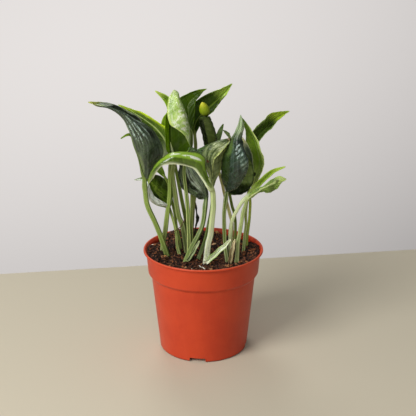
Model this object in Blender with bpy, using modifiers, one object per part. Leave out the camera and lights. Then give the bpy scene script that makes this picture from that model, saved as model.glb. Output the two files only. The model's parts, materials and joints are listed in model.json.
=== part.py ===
"""Young potted pothos: a 12 cm nursery pot, its potting mix, leaf stalks, sheaths and leaves.

Run with: blender --background --python part.py
Units are metres and +Z is up.  The origin is on the pot's axis, at the level it stands on.
Design lengths below are written in millimetres and turned into metres where they are used.
"""
import math

import bmesh
import bpy
from mathutils import Vector, noise

MM = 0.001
GAP = 0.3                    # clearance between pieces that touch, mm
MERGE = 0.00001              # Screw merge distance, m

# ---------------------------------------------------------------- pot, mm
RIM_RADIUS = 60.1
POT_HEIGHT = 105.5
WALL = 0.9
LIP_DEPTH = 1.9
COLLAR_TOP_RADIUS = 57.3
COLLAR_FOOT_RADIUS = 55.7
COLLAR_FOOT_Z = 82.0
BODY_TOP_RADIUS = 52.5
BODY_TOP_Z = 78.6
BASE_RADIUS = 44.7
FLOOR_BOTTOM_Z = 3.6
FLOOR_TOP_Z = 4.6
BOSS_RADIUS = 9.0            # central moulding boss that reaches the table
NOTCH_WIDTH = 16.0
NOTCH_HEIGHT = 3.0
NOTCH_ANGLE = -97.4          # the first of four skirt notches, degrees from +X
DRAIN_CIRCLE = 26.0
DRAIN_RADIUS = 4.0
DRAIN_COUNT = 8
POT_STEPS = 48

# ---------------------------------------------------------------- potting mix, mm
SOIL_LEVEL = 97.0
SOIL_RINGS = (0.0, 9.0, 18.0, 27.0, 36.0, 44.0, 50.0, 55.0)
SOIL_SECTORS = 36
HEAPS = (                    # centre x, centre y, height, spread
    (-25.0, 50.0, 9.5, 14.0),
    (5.0, 52.0, 5.0, 16.0),
    (-48.0, 12.0, 2.0, 14.0),
)
SOIL_WALL = (                # height, and how far inside the pot's wall
    (COLLAR_FOOT_Z + 1.6, 0.5),
    (BODY_TOP_Z, 0.5),
    (30.0, 0.5),
    (6.6, 0.5),
    (FLOOR_TOP_Z + GAP + 0.1, 2.4),
)
STALK_BURIAL = 8.0           # how deep each stalk goes into the mix

# ---------------------------------------------------------------- leaves, mm
LEAF_THICKNESS = 0.7
LEAF_ROWS = 10
LEAF_COLUMNS = (-1.0, -0.5, 0.0, 0.5, 1.0)
STALK_SPACING = 9.0          # distance between the points along a stalk
LEAF_CLEARANCE = 0.8        # from the end of a stalk to the foot of its blade

# Each stalk: radius at the mix, radius at the blade, then its route up from the mix.
STALKS = {
    "stalk_large_left": (2.6, 2.2, [(-34, -4, 97), (-37, -5, 108), (-42, -6, 121), (-48, -8, 136),
                                    (-54, -9, 154), (-56, -10, 169)]),
    "stalk_bright_left": (2.6, 1.9, [(-42, 2, 96), (-42, 2, 110), (-39, 3, 123), (-37, 4, 139),
                                     (-34, 5, 159), (-33, 6, 180)]),
    "stalk_cupped": (1.7, 1.15, [(-24, 1, 97), (-26, 2, 107), (-27, 2, 118), (-29, 3, 128),
                                (-32, 7, 139)]),
    "stalk_curled_left": (1.4, 1.2, [(-23, 16, 97), (-24, 15, 108), (-27, 15, 121), (-29, 15, 135),
                                     (-31, 15, 146), (-33, 16, 158), (-35, 16, 168)]),
    "stalk_cream": (2.4, 1.9, [(-19, 9, 97), (-21, 10, 110), (-22, 10, 126), (-24, 10, 137),
                               (-26, 8, 158), (-28, 6, 180), (-28, 4, 190)]),
    "stalk_small_back": (1.7, 1.4, [(-17, 23, 97), (-17, 23, 116), (-18, 23, 129), (-20, 23, 138),
                                    (-23, 24, 151), (-26, 26, 170), (-29, 28, 187)]),
    "stalk_top_left": (1.9, 1.5, [(-16, -1, 97), (-16, 0, 114), (-15, 3, 134), (-16, 6, 149),
                                  (-18, 11, 168), (-19, 15, 186), (-15, 19, 203)]),
    "stalk_top_right": (1.9, 1.5, [(-12, 14, 97), (-12, 17, 118), (-12, 18, 134), (-12, 20, 155),
                                   (-11, 24, 180), (-8, 27, 200)]),
    "stalk_rolled": (1.8, 1.8, [(-13, 32, 98), (-12, 32, 115), (-10, 31, 137), (-8, 29, 155),
                                (-2, 24, 175), (3, 20, 190)]),
    "stalk_grey": (2.5, 2.1, [(-17, -16, 97), (-12, -16, 110), (-5, -15, 124), (-1, -13, 134),
                              (1, -11, 144), (2, -9, 153)]),
    "stalk_olive": (1.9, 1.5, [(-5, -9, 97), (-1, -7, 108), (3, -5, 121), (6, -4, 134),
                               (8, -4, 145), (9, -5, 158)]),
    "stalk_arch": (3.1, 2.2, [(3, -21, 97), (5, -22, 117), (7, -23, 127), (8, -24, 138), (10, -25, 154),
                              (10, -26, 164), (9, -27, 175), (4, -28, 186)]),
    "stalk_big_dark": (1.9, 1.9, [(24, -15, 97), (22, -13, 110), (20, -12, 123), (19, -11, 136),
                                  (19, -10, 147), (21, -9, 156)]),
    "stalk_lime": (1.9, 1.6, [(29, -9, 97), (28, -9, 115), (27, -9, 125), (29, -8, 135),
                              (33, -7, 145), (38, -6, 155)]),
    "stalk_crinkled": (2.1, 1.5, [(34, -17, 97), (33, -16, 114), (34, -15, 124), (36, -14, 135),
                                  (38, -12, 146)]),
    "stalk_narrow": (1.7, 1.2, [(40, 4, 97), (41, 6, 116), (42, 8, 127), (42, 9, 137), (43, 10, 149),
                                (45, 11, 161)]),
    "stalk_right": (1.4, 1.3, [(45, 14, 97), (45, 15, 113), (47, 16, 129), (47, 17, 145), (47, 18, 154)]),
    "stalk_small_light": (1.5, 1.1, [(29, 16, 97), (29, 17, 113), (29, 18, 126), (27, 19, 134),
                                     (24, 21, 144), (21, 23, 154), (19, 25, 164), (16, 27, 177),
                                     (14, 28, 193)]),
    "stalk_upper_right": (1.5, 1.3, [(33, 29, 97), (33, 30, 108), (33, 31, 122), (32, 31, 132),
                                     (30, 32, 140), (29, 33, 156), (33, 34, 177), (43, 35, 195)]),
}

# Each leaf: its stalk, face direction at foot and tip, fold and margin roll in degrees, then
# midrib stations (x, y, z, half width on the left, half width on the right) from foot to tip.
LEAVES = {
    "leaf_large_left": ("stalk_large_left", (-0.1, -1, 0.1), (-0.2, -0.8, 0.6), 15, 20, [
        (-56, -10, 178, 1.9, 1.9), (-54, -12, 194, 5.8, 6.7), (-52, -15, 212, 12, 13),
        (-58, -18, 228, 9.5, 7.5), (-69, -21, 243, 6.5, 4.7), (-84, -24, 255, 3.2, 2.3),
        (-105, -26, 259, 0.5, 0.5)]),
    "leaf_bright_left": ("stalk_bright_left", (0, -1, 0.2), (0, -0.9, 0.4), 20, 10, [
        (-32, 8, 197, 2.4, 2.4), (-39, 13, 213, 7.8, 7.8), (-50, 18, 224, 8.8, 7.9),
        (-62, 23, 233, 5.9, 4.9), (-74, 27, 240, 3, 3), (-84, 30, 245, 0.5, 0.5)]),
    "leaf_cream": ("stalk_cream", (0, -1, 0), (0, -1, 0), 15, 60, [
        (-27, 3, 200, 2.2, 2.2), (-26, 1, 209, 8.5, 8.5), (-25, -1, 223, 13.5, 15),
        (-24, -3, 237, 15.5, 14), (-25, -5, 251, 12, 9.5), (-26, -6, 260, 6.5, 4),
        (-27, -6, 265, 0.8, 0.8)]),
    "leaf_small_back": ("stalk_small_back", (0, -1, 0), (0, -1, 0.1), 15, 10, [
        (-32, 30, 206, 1.5, 1.5), (-32, 33, 219, 6, 6), (-33, 36, 231, 8, 7), (-37, 40, 244, 5, 5),
        (-49, 44, 256, 0.5, 0.5)]),
    "leaf_top_left": ("stalk_top_left", (0, -1, 0), (0, -1, 0.2), 15, 10, [
        (-11, 22, 219, 1.5, 1.5), (-13, 25, 229, 5.9, 4.4), (-13, 28, 240, 9.9, 5.9),
        (-10, 31, 250, 9.9, 4.9), (3, 34, 260, 0.5, 0.5)]),
    "leaf_top_right": ("stalk_top_right", (0, -1, 0), (0, -1, 0.2), 15, 10, [
        (-8, 30, 215, 1.5, 1.5), (-4, 34, 227, 7, 6), (2, 38, 238, 9, 8), (10, 43, 247, 8, 7),
        (19, 48, 254, 4, 5), (28, 52, 261, 0.5, 0.5)]),
    "leaf_rolled": ("stalk_rolled", (0, -1, 0), (0, -1, 0), 10, 80, [
        (6, 16, 203, 2.6, 2.6), (7, 15, 212, 9.8, 10.8), (5, 13, 223, 10.7, 11.2),
        (3, 11, 234, 8.7, 8.7), (1, 9, 239, 2.9, 2.9)]),
    "leaf_small_light": ("stalk_small_light", (0, -1, 0), (0, -1, 0), 10, 10, [
        (14, 28, 204, 1.1, 1.1), (15, 28, 212, 2.6, 2.6), (17, 28, 219, 2.3, 2.3),
        (20, 28, 226, 0.4, 0.4)]),
    "leaf_olive": ("stalk_olive", (0, -1, 0.2), (0.1, -0.8, 0.6), 15, 20, [
        (9, -7, 170, 1.5, 1.5), (10, -9, 183, 4.8, 4.8), (10, -11, 196, 9.6, 6.7),
        (11, -12, 207, 11.5, 6.7), (17, -11, 214, 8.6, 4.3), (26, -9, 218, 0.5, 0.5)]),
    "leaf_grey": ("stalk_grey", (-0.5, -0.85, 0.1), (-0.5, -0.85, 0.0), 8, 15, [
        (3, -7, 160, 1.9, 1.9), (0, -6, 168, 8.8, 4.9), (-4, -5, 178, 21, 8.8),
        (-8, -4, 189, 17.5, 8.7), (-12, -3, 199, 0.5, 0.5)]),
    "leaf_arch": ("stalk_arch", (0.3, -0.9, 0.4), (-0.3, -0.9, 0.4), 20, 20, [
        (0, -30, 195, 2.2, 2.2), (-5, -32, 203, 3.7, 6.5), (-14, -34, 208, 5.6, 5.6),
        (-26, -36, 209, 5.6, 5.1), (-37, -37, 205, 5.1, 4.6), (-46, -37, 197, 3.3, 2.8),
        (-52, -36, 183, 0.5, 0.5)]),
    "leaf_cupped": ("stalk_cupped", (-0.2, -0.9, 0.4), (-0.2, -0.9, 0.4), 20, 40, [
        (-33, 10, 148, 1.3, 1.3), (-39, 10, 157, 9.5, 6), (-46, 10, 164, 12, 9),
        (-48, 10, 171, 6, 7), (-54, 9, 175, 2.5, 2), (-61, 7, 174, 2, 2), (-67, 6, 176, 0.5, 0.5)]),
    "leaf_curled_left": ("stalk_curled_left", (0, -1, 0.2), (0, -1, 0.2), 10, 15, [
        (-39, 15, 176, 1.3, 1.3), (-43, 14, 182, 3, 4), (-51, 12, 195, 6, 5), (-58, 9, 206, 6, 5),
        (-64, 5, 214, 2, 3.4), (-71, 0, 222, 1.2, 1.2), (-79, -4, 219, 0.5, 0.5)]),
    "leaf_big_dark": ("stalk_big_dark", (-0.1, -1, 0.1), (-0.1, -1, 0.1), 15, 20, [
        (23, -8, 167, 1.9, 1.9), (25, -9, 177, 5.8, 13.5), (25, -12, 192, 7.2, 21),
        (27, -14, 205, 8.1, 19), (30, -14, 219, 4.7, 7.6), (34, -13, 231, 3.3, 4.3),
        (36, -12, 244, 0.5, 0.5)]),
    "leaf_right": ("stalk_right", (-0.4, -1, 0.1), (-0.4, -1, 0.1), 20, 20, [
        (49, 19, 164, 1.4, 1.4), (53, 22, 176, 5, 6), (56, 25, 187, 9, 5), (55, 27, 200, 8, 3),
        (51, 28, 210, 6, 3), (46, 29, 220, 3, 2), (39, 29, 231, 0.5, 0.5)]),
    "leaf_narrow": ("stalk_narrow", (-0.2, -1, 0), (-0.2, -1, 0), 15, 30, [
        (47, 12, 170, 1.2, 1.2), (47, 12, 183, 2.5, 3.0), (46, 11, 196, 2.5, 3.0),
        (43, 10, 206, 3.9, 2.9), (38, 9, 217, 0.5, 0.5)]),
    "leaf_upper_right": ("stalk_upper_right", (0, -1, 0.3), (0, -1, 0.4), 15, 20, [
        (51, 36, 207, 2, 2), (59, 41, 216, 7, 5), (67, 46, 223, 6, 5), (75, 52, 229, 4, 3.6),
        (88, 58, 233, 0.5, 0.5)]),
    "leaf_lime": ("stalk_lime", (0, -0.9, 0.5), (0, -0.9, 0.5), 15, 15, [
        (44, -4, 162, 1.6, 1.6), (52, -5, 171, 3.9, 2.9), (59, -7, 179, 3.4, 2.9),
        (67, -9, 187, 2.9, 2.4), (79, -11, 193, 0.5, 0.5)]),
    "leaf_crinkled": ("stalk_crinkled", (0, -0.9, 0.5), (0, -0.9, 0.5), 15, 20, [
        (41, -11, 157, 1.5, 1.5), (49, -14, 168, 2.9, 2.4), (59, -17, 174, 3.8, 3.8),
        (68, -19, 180, 4.8, 3.8), (79, -21, 184, 0.5, 0.5)]),
}

# Sheaths stand in the mix beside a stalk: (x, y, z, half width left, half width right).
SHEATHS = {
    "sheath_arch": ((-0.1, -1, 0.3), 30, 50, [
        (9, -24, 96, 2, 2), (10, -23, 104, 2.6, 2.6), (14, -22, 111, 3, 3),
        (19, -21, 116, 2.5, 2.5), (25, -20, 122, 0.5, 0.5)]),
    "sheath_papery": ((0.2, -1, 0.1), 15, 50, [
        (26, -20, 96, 2, 2), (28, -20, 110, 2, 2), (31, -20, 122, 0.4, 0.4)]),
    "sheath_grey": ((0.3, -1, 0.2), 15, 50, [
        (-16, -22, 96, 1.5, 1.5), (-10, -21, 109, 1.6, 1.6), (-3, -19, 121, 0.4, 0.4)]),
}
SHEATH_THICKNESS = 0.6

# A dead leaf stub stands behind the middle stalks.
STUB_ROUTE = [(-10, 43, 99), (-10, 43, 114), (-9, 42, 128)]
STUB_RADIUS = 1.7

# The pale, still closed tip of the rolled leaf.
BUD_CENTRE = (1.0, 6.0, 246.5)
BUD_HALF_WIDTH = 5.0
BUD_HALF_LENGTH = 7.6
BUD_TILT = (18.0, -14.0)     # forward and sideways lean, degrees


def clear_scene():
    for thing in list(bpy.data.objects):
        bpy.data.objects.remove(thing, do_unlink=True)


def collection(name):
    group = bpy.data.collections.new(name)
    bpy.context.scene.collection.children.link(group)
    return group


def material(name, colour, roughness):
    surface = bpy.data.materials.new(name)
    surface.use_nodes = True
    shader = surface.node_tree.nodes["Principled BSDF"]
    shader.inputs["Base Color"].default_value = (*colour, 1.0)
    shader.inputs["Roughness"].default_value = roughness
    shader.inputs["Metallic"].default_value = 0.0
    return surface


def mesh_object(name, mesh, group, surface=None):
    thing = bpy.data.objects.new(name, mesh)
    group.objects.link(thing)
    if surface:
        mesh.materials.append(surface)
    return thing


def metres(point):
    return Vector(point[:3]) * MM


def smooth_rows(rows, count):
    """Catmull-Rom rows through the given ones, evenly spread over their intervals."""
    padded = [rows[0]] + list(rows) + [rows[-1]]
    result = []
    for step in range(count):
        place = step * (len(rows) - 1) / (count - 1)
        index = min(int(place), len(rows) - 2)
        t = place - index
        before, start, end, after = padded[index:index + 4]
        row = []
        for a, b, c, d in zip(before, start, end, after):
            row.append(0.5 * (2 * b + (c - a) * t + (2 * a - 5 * b + 4 * c - d) * t * t
                              + (3 * b - a - 3 * c + d) * t ** 3))
        result.append(row)
    return result


def route_length(route):
    return sum((Vector(b[:3]) - Vector(a[:3])).length for a, b in zip(route, route[1:]))


def tube_mesh(name, points, radii):
    """A capped tube along the points, as a mesh with its caps welded."""
    curve = bpy.data.curves.new(name, "CURVE")
    curve.dimensions = "3D"
    curve.bevel_depth = 1.0
    curve.bevel_resolution = 2
    curve.use_fill_caps = True
    line = curve.splines.new("POLY")
    line.points.add(len(points) - 1)
    for spot, point, radius in zip(line.points, points, radii):
        spot.co = (*(Vector(point) * MM), 1.0)
        spot.radius = radius * MM
    guide = bpy.data.objects.new(name + "_guide", curve)
    bpy.context.scene.collection.objects.link(guide)
    evaluated = guide.evaluated_get(bpy.context.evaluated_depsgraph_get())
    mesh = bpy.data.meshes.new_from_object(evaluated)
    bpy.data.objects.remove(guide, do_unlink=True)
    bpy.data.curves.remove(curve)
    welded = bmesh.new()
    welded.from_mesh(mesh)
    bmesh.ops.remove_doubles(welded, verts=welded.verts, dist=MERGE)
    bmesh.ops.recalc_face_normals(welded, faces=welded.faces)
    welded.to_mesh(mesh)
    welded.free()
    mesh.shade_smooth()
    mesh.set_sharp_from_angle(angle=math.radians(50))
    return mesh


# ---------------------------------------------------------------- pot
def pot_profile():
    """Closed wall section from the axis on the floor, up the inside, over the lip and down."""
    lip_foot = POT_HEIGHT - LIP_DEPTH
    return [
        (0.0, 1.2), (BOSS_RADIUS - 1.2, 1.2), (BOSS_RADIUS - 0.6, FLOOR_TOP_Z),
        (BASE_RADIUS - WALL - 1.0, FLOOR_TOP_Z), (BASE_RADIUS - WALL, FLOOR_TOP_Z + 1.4),
        (BODY_TOP_RADIUS - WALL, BODY_TOP_Z + 0.6), (COLLAR_FOOT_RADIUS - WALL, COLLAR_FOOT_Z + 1.0),
        (COLLAR_TOP_RADIUS - WALL, lip_foot), (COLLAR_TOP_RADIUS - WALL + 0.2, POT_HEIGHT - 0.5),
        (COLLAR_TOP_RADIUS, POT_HEIGHT), (RIM_RADIUS - 0.6, POT_HEIGHT),
        (RIM_RADIUS, POT_HEIGHT - 0.6), (RIM_RADIUS, lip_foot + 0.4), (RIM_RADIUS - 0.4, lip_foot),
        (COLLAR_TOP_RADIUS, lip_foot - 0.4), (COLLAR_FOOT_RADIUS, COLLAR_FOOT_Z + 0.3),
        (COLLAR_FOOT_RADIUS - 0.4, COLLAR_FOOT_Z - 0.4), (BODY_TOP_RADIUS, BODY_TOP_Z),
        (BASE_RADIUS, 0.9), (BASE_RADIUS - 0.8, 0.0), (BASE_RADIUS - WALL - 0.9, 0.0),
        (BASE_RADIUS - WALL - 1.0, FLOOR_BOTTOM_Z), (BOSS_RADIUS + 0.6, FLOOR_BOTTOM_Z),
        (BOSS_RADIUS, 0.0), (0.0, 0.0),
    ]


def add_pot(parts, cutters, surface):
    outline = [(radius * MM, 0.0, z * MM) for radius, z in pot_profile()]
    edges = [(i, i + 1) for i in range(len(outline) - 1)]
    mesh = bpy.data.meshes.new("pot")
    mesh.from_pydata(outline, edges, [])
    pot = mesh_object("pot", mesh, parts, surface)
    turn = pot.modifiers.new("turn", "SCREW")
    turn.axis = "Z"
    turn.steps = POT_STEPS
    turn.render_steps = POT_STEPS
    turn.use_merge_vertices = True
    turn.merge_threshold = MERGE
    turn.use_smooth_shade = True

    holes = []
    for number in range(4):
        angle = math.radians(NOTCH_ANGLE + 90.0 * number)
        bpy.ops.mesh.primitive_cube_add(size=1.0)
        notch = bpy.context.object
        notch.scale = (8.0 * MM, NOTCH_WIDTH * MM, 2.0 * NOTCH_HEIGHT * MM)
        notch.location = (BASE_RADIUS * MM * math.cos(angle), BASE_RADIUS * MM * math.sin(angle), 0.0)
        notch.rotation_euler.z = angle
        notch.name = f"notch_cutter_{number}"
        holes.append(notch)
    for number in range(DRAIN_COUNT):
        angle = 2.0 * math.pi * (number + 0.5) / DRAIN_COUNT
        bpy.ops.mesh.primitive_cylinder_add(vertices=12, radius=DRAIN_RADIUS * MM, depth=4.0 * MM)
        drain = bpy.context.object
        drain.location = (DRAIN_CIRCLE * MM * math.cos(angle), DRAIN_CIRCLE * MM * math.sin(angle),
                          0.5 * (FLOOR_BOTTOM_Z + FLOOR_TOP_Z) * MM)
        drain.name = f"drain_cutter_{number}"
        holes.append(drain)
    file_cutters(holes, cutters)
    cut(pot, cutters)


def file_cutters(things, group):
    for thing in things:
        for owner in list(thing.users_collection):
            owner.objects.unlink(thing)
        group.objects.link(thing)
        thing.hide_render = True
        thing.display_type = "WIRE"


def cut(thing, group):
    trim = thing.modifiers.new("holes", "BOOLEAN")
    trim.operation = "DIFFERENCE"
    trim.solver = "EXACT"
    trim.operand_type = "COLLECTION"
    trim.collection = group


# ---------------------------------------------------------------- potting mix
def soil_height(x, y):
    """Height of the mix, mm: level, with heaps at the back and a rough crumb surface."""
    height = SOIL_LEVEL + 0.9 * noise.noise(Vector((x, y, 3.0)) * 0.11)
    for centre_x, centre_y, rise, spread in HEAPS:
        distance = (x - centre_x) ** 2 + (y - centre_y) ** 2
        height += rise * math.exp(-distance / (2.0 * spread * spread))
    return height


def inner_radius(z):
    """Inside radius of the pot at a height, mm."""
    if z >= COLLAR_FOOT_Z:
        share = (z - COLLAR_FOOT_Z) / (POT_HEIGHT - COLLAR_FOOT_Z)
        return COLLAR_FOOT_RADIUS + share * (COLLAR_TOP_RADIUS - COLLAR_FOOT_RADIUS) - WALL
    share = z / BODY_TOP_Z
    return BASE_RADIUS + share * (BODY_TOP_RADIUS - BASE_RADIUS) - WALL


def add_soil(parts, cutters, surface):
    """One closed body: a rough top, sides that follow the pot and a flat underside."""
    build = bmesh.new()
    rings = []
    for radius in SOIL_RINGS[1:]:
        ring = []
        for sector in range(SOIL_SECTORS):
            angle = 2.0 * math.pi * sector / SOIL_SECTORS
            x = radius * math.cos(angle)
            y = radius * math.sin(angle)
            ring.append(build.verts.new(metres((x, y, soil_height(x, y)))))
        rings.append(ring)
    for z, inset in SOIL_WALL:
        radius = inner_radius(z) - GAP - inset
        ring = []
        for sector in range(SOIL_SECTORS):
            angle = 2.0 * math.pi * sector / SOIL_SECTORS
            ring.append(build.verts.new(metres((radius * math.cos(angle), radius * math.sin(angle), z))))
        rings.append(ring)
    top = build.verts.new(metres((0.0, 0.0, soil_height(0.0, 0.0))))
    bottom = build.verts.new(metres((0.0, 0.0, SOIL_WALL[-1][0])))
    for sector in range(SOIL_SECTORS):
        following = (sector + 1) % SOIL_SECTORS
        build.faces.new((top, rings[0][sector], rings[0][following]))
        for upper, lower in zip(rings, rings[1:]):
            build.faces.new((upper[sector], lower[sector], lower[following], upper[following]))
        build.faces.new((bottom, rings[-1][following], rings[-1][sector]))
    mesh = bpy.data.meshes.new("soil")
    build.to_mesh(mesh)
    build.free()
    soil = mesh_object("soil", mesh, parts, surface)
    pockets = []
    for route, radius in planted_pieces():
        pockets.append(pocket(route, radius))
    file_cutters(pockets, cutters)
    cut(soil, cutters)


def planted_pieces():
    """The foot point and girth of everything that stands in the mix."""
    feet = [(route[0], foot_radius) for foot_radius, _, route in STALKS.values()]
    feet += [(rows[0], rows[0][3] + 0.6) for _, _, _, rows in SHEATHS.values()]
    feet.append((STUB_ROUTE[0], STUB_RADIUS))
    return feet


def pocket(foot, radius):
    """A cylinder that clears the buried end of one stalk."""
    depth = STALK_BURIAL + 20.0
    bpy.ops.mesh.primitive_cylinder_add(vertices=10, radius=(radius + GAP + 0.15) * MM, depth=depth * MM)
    thing = bpy.context.object
    floor = foot[2] - STALK_BURIAL - GAP
    thing.location = (foot[0] * MM, foot[1] * MM, (floor + 0.5 * depth) * MM)
    thing.name = "pocket"
    return thing


# ---------------------------------------------------------------- stalks
def stalk_points(route, end):
    """Buried upright foot, then a smooth route that stops just short of the blade's foot."""
    foot = Vector(route[0])
    route = [tuple(point) for point in route] + [tuple(end)]
    count = max(4, round(route_length(route) / STALK_SPACING))
    points = [Vector(row) for row in smooth_rows(route, count)]
    last = points[-1]
    points[-1] = last + (points[-2] - last).normalized() * LEAF_CLEARANCE
    return [foot - Vector((0, 0, STALK_BURIAL))] + points


def add_stalk(name, parts, surface, end):
    foot_radius, top_radius, route = STALKS[name]
    points = stalk_points(route, end)
    radii = []
    for index in range(len(points)):
        share = index / (len(points) - 1)
        radii.append(foot_radius + (top_radius - foot_radius) * share)
    mesh_object(name, tube_mesh(name, points, radii), parts, surface)


# ---------------------------------------------------------------- blades
def across_blade(share, half_width, fold, roll):
    """Sideways and upward offsets of a point on one half of a folded, rolled blade."""
    if abs(roll) < 0.01:
        return share * half_width * math.cos(fold), share * half_width * math.sin(fold)
    sideways = (math.sin(fold + roll * share) - math.sin(fold)) / roll
    upward = (math.cos(fold) - math.cos(fold + roll * share)) / roll
    return half_width * sideways, half_width * upward


def blade_mesh(name, stations, face_foot, face_tip, fold, roll, rows_wanted):
    rows = smooth_rows(stations, rows_wanted)
    middles = [Vector(row[:3]) for row in rows]
    build = bmesh.new()
    lines = []
    for index, row in enumerate(rows):
        before = middles[max(index - 1, 0)]
        after = middles[min(index + 1, len(rows) - 1)]
        along = (after - before).normalized()
        face = Vector(face_foot).lerp(Vector(face_tip), index / (len(rows) - 1))
        face = (face - face.dot(along) * along).normalized()
        side = along.cross(face)
        line = []
        for column in LEAF_COLUMNS:
            half_width = max(row[3] if column < 0 else row[4], 0.3)
            sideways, upward = across_blade(abs(column), half_width, math.radians(fold), math.radians(roll))
            offset = side * math.copysign(sideways, column) + face * upward
            line.append(build.verts.new((middles[index] + offset) * MM))
        lines.append(line)
    for near, far in zip(lines, lines[1:]):
        for column in range(len(LEAF_COLUMNS) - 1):
            build.faces.new((near[column], near[column + 1], far[column + 1], far[column]))
    mesh = bpy.data.meshes.new(name)
    build.to_mesh(mesh)
    build.free()
    mesh.shade_smooth()
    return mesh


def add_blade(name, mesh, parts, surface, thickness):
    blade = mesh_object(name, mesh, parts, surface)
    thicken = blade.modifiers.new("thickness", "SOLIDIFY")
    thicken.thickness = thickness * MM
    thicken.offset = 0.0
    thicken.use_rim = True
    return blade


def add_leaves(parts, leaf_surface, stalk_surface):
    for name, (stalk, face_foot, face_tip, fold, roll, stations) in LEAVES.items():
        mesh = blade_mesh(name, stations, face_foot, face_tip, fold, roll, LEAF_ROWS)
        add_blade(name, mesh, parts, leaf_surface, LEAF_THICKNESS)
        add_stalk(stalk, parts, stalk_surface, stations[0][:3])


def add_sheaths(parts, surface):
    for name, (face, fold, roll, stations) in SHEATHS.items():
        mesh = blade_mesh(name, stations, face, face, fold, roll, LEAF_ROWS // 2)
        add_blade(name, mesh, parts, surface, SHEATH_THICKNESS)


def add_stub(parts, surface):
    points = [Vector(STUB_ROUTE[0]) - Vector((0, 0, STALK_BURIAL))] + [Vector(p) for p in STUB_ROUTE]
    mesh_object("dead_stub", tube_mesh("dead_stub", points, [STUB_RADIUS] * len(points)), parts, surface)


def add_bud(parts, surface):
    build = bmesh.new()
    bmesh.ops.create_uvsphere(build, u_segments=12, v_segments=8, radius=1.0)
    for vert in build.verts:
        taper = 1.0 - 0.25 * vert.co.z
        vert.co.x *= BUD_HALF_WIDTH * taper * MM
        vert.co.y *= BUD_HALF_WIDTH * 0.7 * taper * MM
        vert.co.z *= BUD_HALF_LENGTH * MM
    mesh = bpy.data.meshes.new("leaf_tip_bud")
    build.to_mesh(mesh)
    build.free()
    mesh.shade_smooth()
    bud = mesh_object("leaf_tip_bud", mesh, parts, surface)
    bud.location = metres(BUD_CENTRE)
    bud.rotation_euler = (math.radians(BUD_TILT[0]), math.radians(BUD_TILT[1]), 0.0)


def main():
    clear_scene()
    parts = collection("potted_pothos")
    pot_cutters = collection("pot_cutters")
    soil_cutters = collection("soil_cutters")
    add_pot(parts, pot_cutters, material("terracotta_plastic", (0.60, 0.09, 0.045), 0.45))
    add_soil(parts, soil_cutters, material("potting_mix", (0.045, 0.022, 0.013), 0.95))
    stalk_surface = material("stalk_green", (0.20, 0.30, 0.06), 0.45)
    add_leaves(parts, material("leaf_green", (0.06, 0.15, 0.03), 0.4), stalk_surface)
    add_sheaths(parts, material("sheath_pale", (0.55, 0.52, 0.30), 0.6))
    add_stub(parts, material("dead_tissue", (0.03, 0.03, 0.02), 0.8))
    add_bud(parts, material("bud_yellow", (0.45, 0.50, 0.06), 0.4))


main()
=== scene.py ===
"""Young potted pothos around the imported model: a 12 cm nursery pot, potting mix, leaves and stalks.

Lengths in the tables are millimetres in the row's frame; colours are 0-255 display values.
"""
import json
import math
import random

import bmesh
import bpy
from mathutils import Euler, Matrix, Vector, noise

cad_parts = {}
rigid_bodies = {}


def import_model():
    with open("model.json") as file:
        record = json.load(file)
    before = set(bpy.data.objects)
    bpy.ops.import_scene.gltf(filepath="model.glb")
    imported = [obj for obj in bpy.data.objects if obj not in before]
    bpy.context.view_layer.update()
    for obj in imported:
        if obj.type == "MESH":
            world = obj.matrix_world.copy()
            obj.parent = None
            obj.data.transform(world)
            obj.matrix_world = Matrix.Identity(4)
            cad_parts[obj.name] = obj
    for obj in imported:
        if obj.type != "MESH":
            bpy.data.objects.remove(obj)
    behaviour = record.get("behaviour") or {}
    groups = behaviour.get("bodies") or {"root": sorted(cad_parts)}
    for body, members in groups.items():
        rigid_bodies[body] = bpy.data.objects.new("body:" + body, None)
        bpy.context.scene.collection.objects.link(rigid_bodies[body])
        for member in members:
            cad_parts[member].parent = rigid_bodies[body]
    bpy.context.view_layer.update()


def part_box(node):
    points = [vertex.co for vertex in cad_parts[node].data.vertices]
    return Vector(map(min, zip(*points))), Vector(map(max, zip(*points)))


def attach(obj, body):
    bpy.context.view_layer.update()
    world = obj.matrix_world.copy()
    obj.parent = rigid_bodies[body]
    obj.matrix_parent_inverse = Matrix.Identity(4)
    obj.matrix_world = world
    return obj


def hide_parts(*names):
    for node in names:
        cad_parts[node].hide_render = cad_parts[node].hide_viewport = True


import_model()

MM = 0.001
TAU = 2.0 * math.pi

# ---------------------------------------------------------------- camera, table and lights, m and W
CAMERA_PLACE = (0.0047, -0.800, 0.416)
CAMERA_PITCH = 71.44
CAMERA_LENS = 73.73
CAMERA_SENSOR = 36.0
TABLE_HALF = 1.6
TABLE_EDGE = 0.2203          # the table's back edge, straight behind the pot
TABLE_EDGE_SLOPE = 0.157
LIGHT_TARGET = (0.0, 0.0, 0.12)
LIGHTS = {                   # place, size, power, colour, whether gloss mirrors it
    "window": ((-0.95, -0.95, 1.05), (0.8, 0.8), 23.8, (1.0, 0.985, 0.96), True),
    "fill": ((-0.2, -1.5, 0.9), (1.2, 0.8), 4.0, (1.0, 0.99, 0.98), False),
    "glint": ((-0.25, 0.95, 1.3), (0.5, 0.35), 5.0, (1.0, 0.99, 0.98), True),
}
ROOM_LIGHT = 0.26
ROOM_DIMMING = 0.65          # how much darker the room is in reflections
ROOM_COLOUR = (1.0, 0.985, 0.96, 1.0)
WALL_COLOUR = (1.0, 0.955, 0.935, 1.0)

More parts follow.
